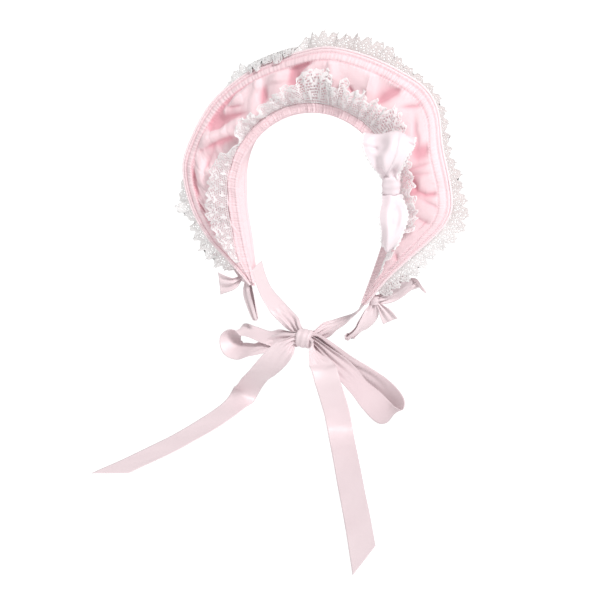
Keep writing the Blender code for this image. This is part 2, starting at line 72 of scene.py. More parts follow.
def setStudio():
    scene = bpy.context.scene
    away = towards(studio["azimuth"], studio["elevation"])
    target = Vector(studio["target"])
    lens = bpy.data.cameras.new("camera")
    lens.lens = studio["lens"]
    lens.sensor_width = studio["sensor"]
    lens.clip_end = studio["clipEnd"]
    camera = bpy.data.objects.new("camera", lens)
    camera.location = target + away * studio["distance"]
    camera.rotation_euler = (-away).to_track_quat("-Z", "Y").to_euler()
    scene.collection.objects.link(camera)
    scene.camera = camera

    world = bpy.data.worlds.new("studio")
    world.use_nodes = True
    sky = world.node_tree.nodes["Background"]
    sky.inputs["Color"].default_value = (1.0, 1.0, 1.0, 1.0)
    sky.inputs["Strength"].default_value = studio["worldStrength"]
    scene.world = world

    key = bpy.data.lights.new("key", "SUN")
    key.energy = studio["keyStrength"]
    key.angle = math.radians(studio["keySoftness"])
    keyLight = bpy.data.objects.new("key", key)
    keyWay = towards(studio["keyAzimuth"], studio["keyElevation"])
    keyLight.rotation_euler = keyWay.to_track_quat("Z", "Y").to_euler()
    scene.collection.objects.link(keyLight)

    scene.view_settings.view_transform = "Standard"
    scene.view_settings.look = "None"
    scene.view_settings.exposure = 0.0
    scene.view_settings.gamma = 1.0

    spread = bmesh.new()
    bmesh.ops.create_grid(spread, x_segments=1, y_segments=1, size=studio["floorSize"])
    floorMesh = bpy.data.meshes.new("floor")
    for vert in spread.verts:
        vert.co.z = studio["floorHeight"]
    spread.to_mesh(floorMesh)
    spread.free()
    floor = bpy.data.objects.new("floor", floorMesh)
    scene.collection.objects.link(floor)
    paper, tree, shader = newMaterial("studio_paper", (0.2, 0.2, 0.2), 0.9)
    shader.inputs["Specular IOR Level"].default_value = 0.0
    shader.inputs["Emission Color"].default_value = (1.0, 1.0, 1.0, 1.0)
    shader.inputs["Emission Strength"].default_value = studio["paperGlow"]
    floorMesh.materials.append(paper)


# Materials


def newMaterial(name, colour, roughness):
    made = bpy.data.materials.new(name)
    made.use_nodes = True
    tree = made.node_tree
    shader = tree.nodes["Principled BSDF"]
    shader.inputs["Base Color"].default_value = (*colour, 1.0)
    shader.inputs["Roughness"].default_value = roughness
    return made, tree, shader


def addNode(tree, kind, settings=None, values=None):
    node = tree.nodes.new(kind)
    for name, value in (settings or {}).items():
        setattr(node, name, value)
    for name, value in (values or {}).items():
        node.inputs[name].default_value = value
    return node


def mixColours(tree, factor, first, second):
    mix = addNode(tree, "ShaderNodeMix", {"data_type": "RGBA", "blend_type": "MIX"})
    for socket, value in ((0, factor), (6, first), (7, second)):
        if hasattr(value, "links"):
            tree.links.new(value, mix.inputs[socket])
        else:
            mix.inputs[socket].default_value = value
    return mix.outputs[2]


waveUnit = 0.314                        # length of one band of the wave texture at a scale of 1


def weaveHeight(tree, pitch):
    # two crossed sets of threads, in metres of flat cloth
    flat = addNode(tree, "ShaderNodeUVMap", {"uv_map": "cloth"})
    height = None
    for direction in ("X", "Y"):
        threads = addNode(
            tree, "ShaderNodeTexWave",
            {"wave_type": "BANDS", "bands_direction": direction, "wave_profile": "SIN"},
            {"Scale": waveUnit / pitch, "Distortion": 0.6, "Detail": 1.0, "Detail Scale": 3.0},
        )
        tree.links.new(flat.outputs["UV"], threads.inputs["Vector"])
        if height is None:
            height = threads.outputs["Fac"]
        else:
            both = addNode(tree, "ShaderNodeMath", {"operation": "ADD"})
            tree.links.new(height, both.inputs[0])
            tree.links.new(threads.outputs["Fac"], both.inputs[1])
            height = both.outputs[0]
    return height


def addBump(tree, shader, height, distance, strength=1.0, under=None):
    bump = addNode(tree, "ShaderNodeBump", None, {"Strength": strength, "Distance": distance})
    tree.links.new(height, bump.inputs["Height"])
    if under is not None:
        tree.links.new(under, bump.inputs["Normal"])
    tree.links.new(bump.outputs["Normal"], shader.inputs["Normal"])
    return bump.outputs["Normal"]


def objectNoise(tree, scale, detail):
    place = addNode(tree, "ShaderNodeTexCoord")
    noise = addNode(
        tree, "ShaderNodeTexNoise", {"noise_dimensions": "3D"},
        {"Scale": scale, "Detail": detail, "Roughness": 0.55},
    )
    tree.links.new(place.outputs["Object"], noise.inputs["Vector"])
    return noise.outputs["Fac"]


cotton = {
    "lit": (0.915, 0.68, 0.715),
    "worn": (0.935, 0.73, 0.765),       # paler patches
    "deep": (0.75, 0.36, 0.42),         # painted shade, down in the creases
    "roughness": 0.88, "sheen": 0.25, "specular": 0.25,
    "patches": 28.0, "crumples": 130.0, # noise scales
    "crumpleDepth": 0.0009, "weaveDepth": 0.00008, "weavePitch": 0.00042,
}


def cottonMaterial(name, lighten=0.0):
    made, tree, shader = newMaterial(name, cotton["lit"], cotton["roughness"])
    lit = [value + (1 - value) * lighten for value in cotton["lit"]]
    worn = [value + (1 - value) * lighten for value in cotton["worn"]]
    patches = objectNoise(tree, cotton["patches"], 4.0)
    colour = mixColours(tree, patches, (*lit, 1.0), (*worn, 1.0))
    # painted shade: the crease attribute pulls the cotton towards the deep colour in fold valleys,
    # stitch lines and shirring hollows
    crease = addNode(tree, "ShaderNodeAttribute", {"attribute_name": "crease"})
    colour = mixColours(tree, crease.outputs["Fac"], colour, (*cotton["deep"], 1.0))
    tree.links.new(colour, shader.inputs["Base Color"])
    shader.inputs["Sheen Weight"].default_value = cotton["sheen"]
    shader.inputs["Sheen Roughness"].default_value = 0.5
    shader.inputs["Specular IOR Level"].default_value = cotton["specular"]
    crumples = objectNoise(tree, cotton["crumples"], 3.0)
    crumpled = addBump(tree, shader, crumples, cotton["crumpleDepth"], 0.5)
    weave = weaveHeight(tree, cotton["weavePitch"])
    addBump(tree, shader, weave, cotton["weaveDepth"], 0.8, crumpled)
    return made


laceThread = {
    "roughness": 0.85, "sheen": 0.2, "specular": 0.3, "patches": 60.0,
    "shaded": (0.56, 0.5, 0.5),         # share of each colour left where the painted shade is full
    "glow": 0.7, "glowRadius": (1.0, 0.97, 0.95), "glowScale": 0.0025,
    "twistPitch": 0.0007, "twistDepth": 0.00007,
}


def laceMaterial(name, thread, soiled):
    made, tree, shader = newMaterial(name, thread, laceThread["roughness"])
    patches = objectNoise(tree, laceThread["patches"], 3.0)
    colour = mixColours(tree, patches, (*thread, 1.0), (*soiled, 1.0))
    # painted shade: the lace is greyed towards its shaded colour where the key light falls most
    paintedShade = addNode(tree, "ShaderNodeAttribute", {"attribute_name": "paintedShade"})
    shaded = [value * part for value, part in zip(thread, laceThread["shaded"])]
    colour = mixColours(tree, paintedShade.outputs["Fac"], colour, (*shaded, 1.0))
    tree.links.new(colour, shader.inputs["Base Color"])
    shader.inputs["Sheen Weight"].default_value = laceThread["sheen"]
    shader.inputs["Specular IOR Level"].default_value = laceThread["specular"]
    shader.inputs["Subsurface Weight"].default_value = laceThread["glow"]
    shader.inputs["Subsurface Radius"].default_value = laceThread["glowRadius"]
    shader.inputs["Subsurface Scale"].default_value = laceThread["glowScale"]
    twist = weaveHeight(tree, laceThread["twistPitch"])
    addBump(tree, shader, twist, laceThread["twistDepth"], 0.8)
    return made


satin = {
    "anisotropy": 0.55, "sheen": 0.15, "patches": 22.0, "ripples": 70.0, "rippleDepth": 0.0006,
    "weavePitch": 0.0003, "weaveDepth": 0.00003,
}


def satinMaterial(name, colour, shade, roughness, shine=0.5):
    made, tree, shader = newMaterial(name, colour, roughness)
    patches = objectNoise(tree, satin["patches"], 2.0)
    tint = mixColours(tree, patches, (*colour, 1.0), (*shade, 1.0))
    tree.links.new(tint, shader.inputs["Base Color"])
    shader.inputs["Specular IOR Level"].default_value = shine
    shader.inputs["Anisotropic"].default_value = satin["anisotropy"]
    shader.inputs["Sheen Weight"].default_value = satin["sheen"]
    tangent = addNode(tree, "ShaderNodeTangent", {"direction_type": "UV_MAP", "uv_map": "cloth"})
    tree.links.new(tangent.outputs["Tangent"], shader.inputs["Tangent"])
    ripples = objectNoise(tree, satin["ripples"], 2.0)
    rippled = addBump(tree, shader, ripples, satin["rippleDepth"], 0.35)
    weave = weaveHeight(tree, satin["weavePitch"])
    addBump(tree, shader, weave, satin["weaveDepth"], 0.5, rippled)
    return made


print("studio: camera, lights and floor")
setStudio()
pinkCotton = cottonMaterial("pink_cotton_woven")
paleCotton = cottonMaterial("pink_cotton_piping", 0.25)
stitchThread = cottonMaterial("pink_sewing_thread", 0.1)
whiteLace = laceMaterial("white_lace_inner", (0.99, 0.945, 0.945), (0.965, 0.91, 0.91))
edgeLace = laceMaterial("white_lace_edge", (0.96, 0.945, 0.935), (0.91, 0.895, 0.885))
paleSatin = satinMaterial("pale_satin_woven", (0.71, 0.58, 0.605), (0.76, 0.64, 0.66), 0.35)
bowSatin = satinMaterial("bow_satin_woven", (0.80, 0.68, 0.715), (0.83, 0.73, 0.76), 0.28, 0.36)
# painted shade: a darker, rougher and less shiny copy of the pale satin, for the chin loop at the
# wearer's left
shadedSatin = satinMaterial(
    "pale_satin_dull_side", (0.62, 0.49, 0.515), (0.66, 0.54, 0.56), 0.55, 0.2)

# The form of the bonnet: the seam round its opening and the outline of the brim, in mm

bonnet = {
    "archRadius": 80.5, "archSide": 99.0, "archTuck": 24.5, "archDrop": 95.5,
    "tuckCurve": 1.25, "archLean": 0.30, "leanFade": 500.0,
    "tip": 225.0,                       # seam length from the centre top to a tip
    "sewnShare": 0.985,                 # how much of it the binding and the band cover
    "edgeInset": 3.75,                  # from the outline in to the cotton's edge
    "middle": (0.0, -30.0, -100.0),
    "fullDepth": 50.0,                  # where the brim is narrower, its folds are lower
    "bulge": 4.0,
    "broadShare": 0.35,                 # how much of the broad folds shows under the fine ones
}
brimOutline = np.array([
    # along the seam, x, y, z
    (-225, -61.0, -36.0, -174.5), (-200, -83.0, -38.5, -151.0), (-175, -106.5, -34.5, -133.0),
    (-150, -128.5, -25.0, -106.0), (-120, -142.0, -11.0, -72.0), (-100, -136.5, 0.0, -44.0),
    (-80, -123.5, 12.5, -15.0), (-62, -103.0, 20.0, 7.5), (-42, -74.5, 22.0, 29.0),
    (-20, -35.5, 19.5, 48.5), (0, 0.0, 17.0, 60.0), (20, 36.0, 18.5, 56.5),
    (42, 69.5, 22.0, 44.5), (60, 95.0, 23.0, 30.5), (74, 109.5, 18.5, 12.0),
    (90, 119.0, 8.0, -19.0), (108, 131.5, -4.0, -49.0), (124, 137.0, -12.5, -69.5),
    (140, 133.5, -20.5, -84.5), (156, 123.0, -28.0, -98.0), (178, 104.5, -35.0, -117.5),
    (202, 82.5, -38.0, -142.5), (225, 61.5, -36.5, -173.0),
])
broadFolds = (
    # along, drift, width, height, near, far
    (-196, 8, 8, 2.5, 0.10, 0.90), (-172, 8, 9, -3.0, 0.05, 0.85), (-150, 6, 8, 3.0, 0.10, 0.80),
    (-136, 4, 6, -3.0, 0.05, 0.80), (-121, 0, 7, 3.0, 0.15, 0.85), (-108, -4, 5, -4.0, 0.10, 0.90),
    (-95, -4, 6, 3.5, 0.20, 0.90), (-82, -2, 5, -4.0, 0.15, 0.85), (-64, 0, 8, 3.5, 0.10, 0.85),
    (-46, 4, 7, -3.0, 0.05, 0.75), (-27, 4, 7, -5.0, 0.10, 0.80), (-10, 0, 9, 4.0, 0.10, 0.95),
    (10, 2, 8, -2.5, 0.05, 0.75), (26, -4, 7, 3.0, 0.10, 0.80), (40, -6, 6, -6.0, 0.10, 0.85),
    (54, -6, 7, 5.0, 0.20, 0.95), (70, -2, 5, -3.5, 0.20, 0.85), (84, 4, 9, 4.5, 0.15, 0.80),
    (98, 6, 5, -3.0, 0.05, 0.60), (106, 4, 5, -5.0, 0.15, 0.95), (120, 0, 7, 3.5, 0.15, 0.85),
    (140, -4, 8, -2.5, 0.10, 0.75), (168, -6, 8, 2.5, 0.10, 0.80), (190, -6, 8, -2.0, 0.10, 0.80),
)


def ease(value):
    value = np.clip(value, 0.0, 1.0)
    return value * value * (3 - 2 * value)


def between(value, start, end, soft):
    # 1 from start to end, with soft ends
    return ease((value - start) / soft) * ease((end - value) / soft)


def hump(value, centre, width):
    return np.exp(-(((value - centre) / width) ** 2))


def unit(vectors):
    return vectors / np.linalg.norm(vectors, axis=-1, keepdims=True)


def readRows(rows, key):
    # a smooth curve through the rows of a table, read at values of its first column
    key = np.clip(np.asarray(key, float), rows[0, 0], rows[-1, 0])
    at = np.clip(np.searchsorted(rows[:, 0], key, side="left") - 1, 0, len(rows) - 2)
    first, second = rows[at], rows[at + 1]
    before, after = rows[np.maximum(at - 1, 0)], rows[np.minimum(at + 2, len(rows) - 1)]
    span = (second[..., 0] - first[..., 0])[..., None]
    t = (key[..., None] - first[..., :1]) / span
    slopeIn = (second - before) / (second[..., :1] - before[..., :1])
    slopeOut = (after - first) / (after[..., :1] - first[..., :1])
    h = t * t * (3 - 2 * t)
    value = first * (1 - h) + second * h + span * t * (1 - t) * ((1 - t) * slopeIn - t * slopeOut)
    return value[..., 1:]


def seamPoint(along):
    along = np.asarray(along, float)
    length = np.abs(along)
    quarter = bonnet["archRadius"] * math.pi / 2
    turn = length / bonnet["archRadius"]
    share = np.maximum(length - quarter, 0.0) / bonnet["archSide"]
    onArch = length < quarter
    x = np.where(onArch, bonnet["archRadius"] * np.sin(turn),
                 bonnet["archRadius"] - bonnet["archTuck"] * share ** bonnet["tuckCurve"])
    z = np.where(onArch, bonnet["archRadius"] * (np.cos(turn) - 1),
                 -bonnet["archRadius"] - bonnet["archDrop"] * share)
    y = bonnet["archLean"] * z * (1 + z / bonnet["leanFade"])
    return np.stack([np.where(along < 0, -x, x), y, z], -1)


def seamOutward(along):
    step = seamPoint(along + 1) - seamPoint(along - 1)
    return unit(np.stack([-step[..., 2], np.zeros_like(step[..., 0]), step[..., 0]], -1))


def outlinePoint(along, inset=bonnet["edgeInset"]):
    outline = readRows(brimOutline, along)
    return outline + unit(seamPoint(along) - outline) * inset


def facing(along):
    # the forward direction of the brim
    step = outlinePoint(along + 2) - outlinePoint(along - 2)
    reach = outlinePoint(along) - np.array(bonnet["middle"])
    return unit(np.cross(step, reach))


def outward(along):
    step = outlinePoint(along + 3) - outlinePoint(along - 3)
    return unit(np.cross(facing(along), step))


def brimDepth(along):
    return np.linalg.norm(outlinePoint(along) - seamPoint(along), axis=-1)


def foldHeight(along, share):
    height = np.zeros_like(along)
    soft = 0.15
    for place, drift, width, tall, near, far in broadFolds:
        rise = between(share, near - soft, far + soft, 2 * soft)
        height += tall * hump(along, place + drift * share, width) * rise
    return height * bonnet["broadShare"]


def overBrim(along, share, lift=0.0):
    # a point over the middle of the brim's thickness
    along, share = np.broadcast_arrays(np.asarray(along, float), np.asarray(share, float))
    inner, outer = seamPoint(along), outlinePoint(along)
    lively = np.minimum(np.linalg.norm(outer - inner, axis=-1) / bonnet["fullDepth"], 1.0)
    up = (bonnet["bulge"] * 4 * share * (1 - share) + foldHeight(along, share)) * lively + lift
    return inner + (outer - inner) * share[..., None] + facing(along) * up[..., None]


# Cloth helpers


def flatGrid(name, columns, rows, cut=None):
    # an open grid of cloth with its holes cut, and where each vertex is on it from 0 to 1
    grid = bmesh.new()
    bmesh.ops.create_grid(grid, x_segments=columns, y_segments=rows, size=0.5)
    if cut is not None:
        gone = []
        for face in grid.faces:
            centre = face.calc_center_median()
            if cut[int((centre.y + 0.5) * rows), int((centre.x + 0.5) * columns)]:
                gone.append(face)
        bmesh.ops.delete(grid, geom=gone, context="FACES")
    mesh = bpy.data.meshes.new(name)
    grid.to_mesh(mesh)
    grid.free()
    at = np.empty(len(mesh.vertices) * 3)
    mesh.vertices.foreach_get("co", at)
    at = at.reshape(-1, 3)
    return mesh, at[:, 0] + 0.5, at[:, 1] + 0.5


def layMesh(mesh, places, flatPlaces):
    # puts every vertex in its place, and keeps the flat cloth as a UV map in metres
    mesh.vertices.foreach_set("co", (places * mm).astype(np.float32).ravel())
    corner = np.empty(len(mesh.loops), np.int32)
    mesh.loops.foreach_get("vertex_index", corner)
    flat = mesh.uv_layers.new(name="cloth")
    flat.data.foreach_set("uv", (flatPlaces[corner] * mm).astype(np.float32).ravel())
    mesh.update()


def addPiece(mesh, name, slotName, *looks, replaced=True):
    made = bpy.data.objects.new("dressed_" + name, mesh)
    bpy.context.scene.collection.objects.link(made)
    for look in looks:
        mesh.materials.append(look)
    mesh.shade_smooth()
    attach(made, "root")
    if replaced:
        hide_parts(name)
    return made


def thicken(made, thick, even=True):
    wall = made.modifiers.new("thickness", "SOLIDIFY")
    wall.thickness = thick * mm
    wall.offset = 0.0
    wall.use_even_offset = even
    wall.thickness_clamp = 1.0


def closeUp(mesh):
    # joins the first and last rows of a rolled grid, fills its ends and turns its faces out
    rolled = bmesh.new()
    rolled.from_mesh(mesh)
    bmesh.ops.remove_doubles(rolled, verts=rolled.verts, dist=0.0004 * mm)
    loose = [edge for edge in rolled.edges if edge.is_boundary]
    bmesh.ops.holes_fill(rolled, edges=loose, sides=0)
    bmesh.ops.recalc_face_normals(rolled, faces=rolled.faces)
    rolled.to_mesh(mesh)
    rolled.free()


def walkedTo(line):
    # how far along a line each of its points is
    steps = np.linalg.norm(np.diff(line, axis=0), axis=1)
    return np.concatenate([[0.0], np.cumsum(steps)])


def setAttribute(mesh, name, values):
    layer = mesh.attributes.new(name, "FLOAT", "POINT")
    layer.data.foreach_set("value", np.asarray(values, np.float32))


# Brim: cotton over a soft wadding, with gathers, puckers and a double stitched casing at its edge

brim = {
    "columns": 900,
    "frontRows": 56, "rollRows": 4, "backRows": 18, "innerRows": 2,
    "halfThick": 1.9, "edgeThick": 1.25, "seamThick": 1.2,
    "stitchIn": (2.6, 9.6),             # the two stitch lines, in from the edge
    "grooveWidth": 0.75, "grooveDepth": 1.05,
    "puckerPitch": 3.6, "puckerHeight": 0.52,
    "casing": 6.0, "casingReach": 6.5,  # middle of the casing, in from the edge, and half its width
    "casingPuff": 0.35, "edgePuff": 0.3,
    "shoulder": 12.0, "seamReach": 8.0, # how far in from the edge and the seam it is thinner
    "foldsFrom": 8.6,                   # the folds start here, in from the edge
    "spread": 0.62,                     # how much longer the cloth is at its edge than at the seam
    "foldShare": 1.6, "deepest": 5.5,
    "crumple": ((26.0, 0.9, 0.16), (13.0, 0.5, 0.16)),     # size, depth, sharpness
    "crumpleWaves": 22,
    "backGap": 1.3, "backSoft": 1.5,    # how the back keeps clear of the deep folds
    "backRipple": 0.4,
    # painted shade: how dark the fold valleys and stitch lines are painted, more on the wearer's
    # right, which is turned from the key light, and less on the wearer's left
    "creaseDepth": 2.6, "creaseShadePaint": 0.9,
    "stitchShadePaint": 0.34, "leftShadePaint": 0.24, "rightShadePaint": -0.2,
}
# pleats at the seam and at the casing: count, then ranges of height, reach and width, and drift
seamPleats = (110, (0.25, 0.95), (0.12, 0.42), (1.1, 2.4), 8)
casingPleats = (70, (0.2, 0.7), (0.12, 0.35), (1.6, 3.4), 10)
fineFolds = (
    # height, width on the left and right of the way it runs, 1 if crisp, then along and share
    (-4.6, 5.0, 6.0, 0, (-2, 0.90), (-14, 0.81), (-20, 0.75), (-22, 0.59), (-17, 0.42)),
    (2.0, 5.0, 4.0, 0, (-4, 0.93), (-10, 0.75), (-13, 0.62)),
    (1.6, 5.0, 5.0, 0, (1, 0.97), (8, 0.42)),
    (4.0, 3.0, 8.0, 1, (28, 0.90), (30, 0.65), (32, 0.45)),
    (-3.6, 7.0, 3.0, 1, (41, 0.42), (46, 0.66), (51, 0.90)),
    (-2.2, 3.0, 3.5, 1, (17, 0.52), (25, 0.38)),
    (1.2, 4.0, 4.0, 0, (37, 0.86), (53, 0.82)),
    (2.2, 4.0, 4.5, 0, (-45, 0.92), (-46, 0.775), (-48, 0.58)),
    (-2.2, 5.0, 4.5, 0, (-45, 0.68), (-49, 0.33)),
    (2.6, 9.0, 9.0, 0, (-29, 0.84), (-35, 0.58)),
    (-2.8, 4.0, 5.0, 0, (-47, 0.88), (-64, 0.838), (-84, 0.863)),
    (2.2, 4.0, 4.0, 0, (-49, 0.775), (-74, 0.74)),
    (-1.8, 2.6, 2.6, 1, (-74, 0.75), (-63, 0.55)),
    (-3.2, 3.5, 4.0, 1, (-64, 0.40), (-88, 0.763)),
    (-3.8, 5.0, 5.0, 0, (-91, 0.90), (-81, 0.575)),
    (3.2, 4.0, 4.5, 0, (-106, 0.875), (-93, 0.613), (-77, 0.388)),
    (-3.2, 3.2, 3.6, 1, (-108, 0.788), (-96, 0.513), (-83, 0.25)),
    (-2.8, 4.0, 4.0, 0, (-116, 0.80), (-129, 0.825), (-146, 0.838)),
    (2.2, 7.0, 7.0, 0, (-112, 0.625), (-136, 0.638)),
    (-1.6, 2.4, 2.4, 1, (-106, 0.513), (-118, 0.575), (-136, 0.562)),
    (-2.2, 3.0, 3.0, 0, (-146, 0.80), (-155, 0.725)),
    (-1.9, 2.8, 2.8, 1, (-159, 0.812), (-165, 0.613)),
    (-1.4, 2.6, 2.6, 1, (-171, 0.70), (-176, 0.51)),
    (-1.4, 2.6, 2.6, 1, (-186, 0.66), (-195, 0.465)),
    (-4.2, 4.0, 5.5, 1, (93, 0.26), (104, 0.37), (113, 0.47)),
    (-1.9, 2.2, 2.2, 1, (110, 0.43), (114, 0.60), (114, 0.88)),
    (-2.2, 5.0, 5.0, 0, (83, 0.475), (88, 0.613), (89, 0.863)),
    (-1.0, 2.0, 2.0, 1, (95, 0.338), (95.5, 0.825)),
    (-0.8, 2.0, 2.0, 1, (99, 0.40), (101, 0.78)),
    (-1.0, 2.6, 2.6, 1, (115, 0.475), (124, 0.80), (126, 0.95)),
    (-1.0, 2.6, 2.6, 1, (130, 0.375), (141, 0.838)),
    (-0.8, 2.4, 2.4, 1, (149, 0.613), (135, 0.688)),
    (-2.0, 2.0, 2.0, 1, (169, 0.438), (180, 0.763)),
    (-1.4, 2.4, 2.4, 1, (56, 0.60), (64, 0.785), (66, 0.95)),
    (-1.0, 4.0, 4.0, 0, (66, 0.713), (76, 0.62), (86, 0.663)),
    (-1.2, 1.4, 1.4, 1, (0, 0.99), (0.5, 0.74)),
)
puckers = np.array([
    # along, strength of the cross puckers at the casing
    (-225, 0.5), (-190, 0.7), (-150, 0.4), (-110, 0.6), (-75, 0.8), (-45, 0.6), (-10, 0.5),
    (20, 0.7), (42, 1.6), (62, 1.8), (80, 0.8), (110, 0.5), (150, 0.4), (190, 0.7), (225, 0.6),
])


def onCloth(along, share):
    # place on the brim in mm of cloth, for distances between its folds
    return np.stack([along * (1 + brim["spread"] * share), share * brimDepth(along)], -1)


def fineHeight(along, share):
    here = onCloth(along, share)
    height = np.zeros_like(along)
    for tall, leftWide, rightWide, crisp, *marks in fineFolds:
        line = [onCloth(np.array(float(place)), part) for place, part in marks]
        steps = [np.linalg.norm(end - start) for start, end in zip(line, line[1:])]
        nearest = np.full(along.shape, 1e9)
        side = np.zeros_like(along)
        walked = np.zeros_like(along)
        before = 0.0
        for start, end, step in zip(line, line[1:], steps):
            way = (end - start) / step
            t = np.clip((here - start) @ way, 0, step)
            away = here - start - t[..., None] * way
            far = np.linalg.norm(away, axis=-1)
            closer = far < nearest
            nearest = np.where(closer, far, nearest)
            side = np.where(closer, away @ np.array([-way[1], way[0]]), side)
            walked = np.where(closer, before + t, walked)
            before += step
        wide = np.where(side > 0, leftWide, rightWide)
        if crisp:
            shape = np.exp(-(np.sqrt(nearest ** 2 + 0.09) - 0.3) / (0.62 * wide))
        else:
            shape = hump(nearest, 0, wide)
        ramp = 0.35 * before
        fadeIn = 0.25 + 0.75 * ease(walked / ramp)
        fadeOut = 0.25 + 0.75 * ease((before - walked) / ramp)
        height += tall * shape * fadeIn * fadeOut
    return height * brim["foldShare"]


def crumple(along, share):
    # thin wandering creases of worn cotton, along the zero lines of two smooth fields
    here = onCloth(along, share)
    rng = np.random.default_rng(31)
    height = np.zeros_like(along)
    for size, depth, width in brim["crumple"]:
        field = np.zeros_like(along)
        for _ in range(brim["crumpleWaves"]):
            turn = rng.uniform(0, 2 * math.pi)
            wave = size * rng.uniform(0.7, 1.6)
            way = np.array([math.cos(turn), 0.45 * math.sin(turn)]) * 2 * math.pi / wave
            field += np.sin(here @ way + rng.uniform(0, 2 * math.pi))
        field /= math.sqrt(brim["crumpleWaves"] / 2)
        height += 0.5 * depth * field - depth * np.exp(-np.abs(field) / width)
    return height * (0.08 + 0.92 * ease((-25 - along) / 30))


def drawPleats(rng, pleats):
    count, tall, reach, width, drift = pleats
    for _ in range(count):
        yield (rng.uniform(-222, 222), rng.uniform(*tall), rng.uniform(*reach),
               rng.uniform(*width), rng.uniform(-drift, drift))


def gathers(along, share):
    # small pleats that run out from the seam and in from the casing, where the cotton is gathered
    rng = np.random.default_rng(11)
    height = np.zeros_like(along)
    for place, tall, reach, width, drift in drawPleats(rng, seamPleats):
        offset = np.abs(along - place - drift * share) / (width * (1 + 1.5 * share))
        height -= tall * np.exp(-offset) * ease((reach - share) / reach * 1.6)
    inside = 0.86 - share
    clear = ease((0.9 - share) / 0.06)
    for place, tall, reach, width, drift in drawPleats(rng, casingPleats):
        offset = np.abs(along - place - drift * inside) / width
        tall *= 1 - 0.7 * ease(place / 30)
        height -= tall * np.exp(-offset) * ease((reach - inside) / reach * 1.6) * clear
    return height


def stitchLines(fromEdge):
    return sum(hump(fromEdge, inset, brim["grooveWidth"]) for inset in brim["stitchIn"])


def frontShape(along, share):
    # how thick the front is, and how high its folds stand over that
    depth = brimDepth(along)
    fromEdge = (1 - share) * depth
    swell = ease(fromEdge / brim["shoulder"])
    thick = brim["edgeThick"] + (brim["halfThick"] - brim["edgeThick"]) * swell
    pressed = ease(1 - share * depth / brim["seamReach"])
    thick = thick - (brim["halfThick"] - brim["seamThick"]) * pressed
    lively = np.minimum(depth / bonnet["fullDepth"], 1.0)
    inBody = ease((fromEdge - brim["foldsFrom"]) / 4.0)
    strength = readRows(puckers, along)[..., 0]
    phase = along * (1 + brim["spread"]) * 2 * math.pi / brim["puckerPitch"]
    phase = phase + 1.6 * np.sin(along * 0.31) + 1.1 * np.sin(along * 0.83 + 1)
    inCasing = np.exp(-(((fromEdge - brim["casing"]) / brim["casingReach"]) ** 4))
    pucker = np.sin(phase) * brim["puckerHeight"] * strength * inCasing
    puff = brim["casingPuff"] * hump(fromEdge, 6.1, 2.4) + brim["edgePuff"] * hump(fromEdge, 0, 1.6)
    height = fineHeight(along, share) + gathers(along, share) + crumple(along, share)
    height = height * inBody * lively
    deepest = brim["deepest"]
    height = np.where(height < 0, -deepest * np.tanh(-height / deepest), height)
    groove = brim["grooveDepth"] * stitchLines(fromEdge) * (0.8 + 0.2 * np.sin(phase))
    return thick, height + pucker + puff - groove


def makeBrim():
    # one turn round the section: over the front, round the edge, down the back and round the seam
    front = np.linspace(0, 1, brim["frontRows"] + 1)
    front = front * 0.72 + 0.28 * (1 - (1 - front) ** 2.6)
    roll = np.linspace(0, 1, brim["rollRows"] + 2)[1:-1]
    back = np.linspace(1, 0, brim["backRows"] + 1)
    inner = np.linspace(0, 1, brim["innerRows"] + 2)[1:-1]
    share = np.concatenate([front, np.ones_like(roll), back, np.zeros_like(inner), [0.0]])
    side = np.concatenate([
        np.ones_like(front), np.cos(roll * math.pi), -np.ones_like(back),
        -np.cos(inner * math.pi), [1.0],
    ])
    bulge = np.concatenate([
        np.zeros_like(front), np.sin(roll * math.pi), np.zeros_like(back),
        -np.sin(inner * math.pi), [0.0],
    ])
    rows = len(share) - 1
    mesh, u, v = flatGrid("brim", brim["columns"], rows)
    along = (2 * u - 1) * bonnet["tip"]
    row = np.rint(v * rows).astype(int)
    s, w, b = share[row], side[row], bulge[row]
    thick, height = frontShape(along, s)
    behind = thick + brim["backRipple"] * np.sin(along * 0.21 + 3 * s) * s * (1 - s) * 4
    clear = thick + height - brim["backGap"]
    soft = brim["backSoft"]
    under = -np.log(np.exp(soft * behind) + np.exp(-soft * clear)) / soft
    onBack = np.where(w > -0.95, w * behind, under)
    places = overBrim(along, s, np.where(w > 0, w * (thick + height * ease(w)), onBack))
    out = unit(outlinePoint(along) - seamPoint(along))
    places = places + out * (b * brim["edgeThick"] * np.where(b > 0, 0.75, 0.6))[:, None]
    fromEdge = (1 - s) * brimDepth(along)
    # painted shade along the stitch lines, more on the wearer's right and less on the wearer's
    # left, and painted shade in the fold valleys
    stitchShade = brim["stitchShadePaint"] + brim["leftShadePaint"] * ease((-along - 10) / 60)
    stitchShade = stitchShade + brim["rightShadePaint"] * ease((along - 55) / 30)
    crease = np.clip((-height - 0.3) / brim["creaseDepth"], 0, 1) * ease(fromEdge / 8)
    crease = np.minimum(crease + stitchShade * stitchLines(fromEdge), 1) * (w > 0.9)
    layMesh(mesh, places, np.stack([along * 1.3, s * 62 + np.where(w < 0, 100, 0)], -1))
    setAttribute(mesh, "crease", crease * brim["creaseShadePaint"])
    closeUp(mesh)
    made = addPiece(mesh, "brim", "pink_cotton", pinkCotton)


stitch = {"long": 1.7, "gap": 0.9, "thick": 0.28, "lift": 0.12, "fromTip": 8.0}


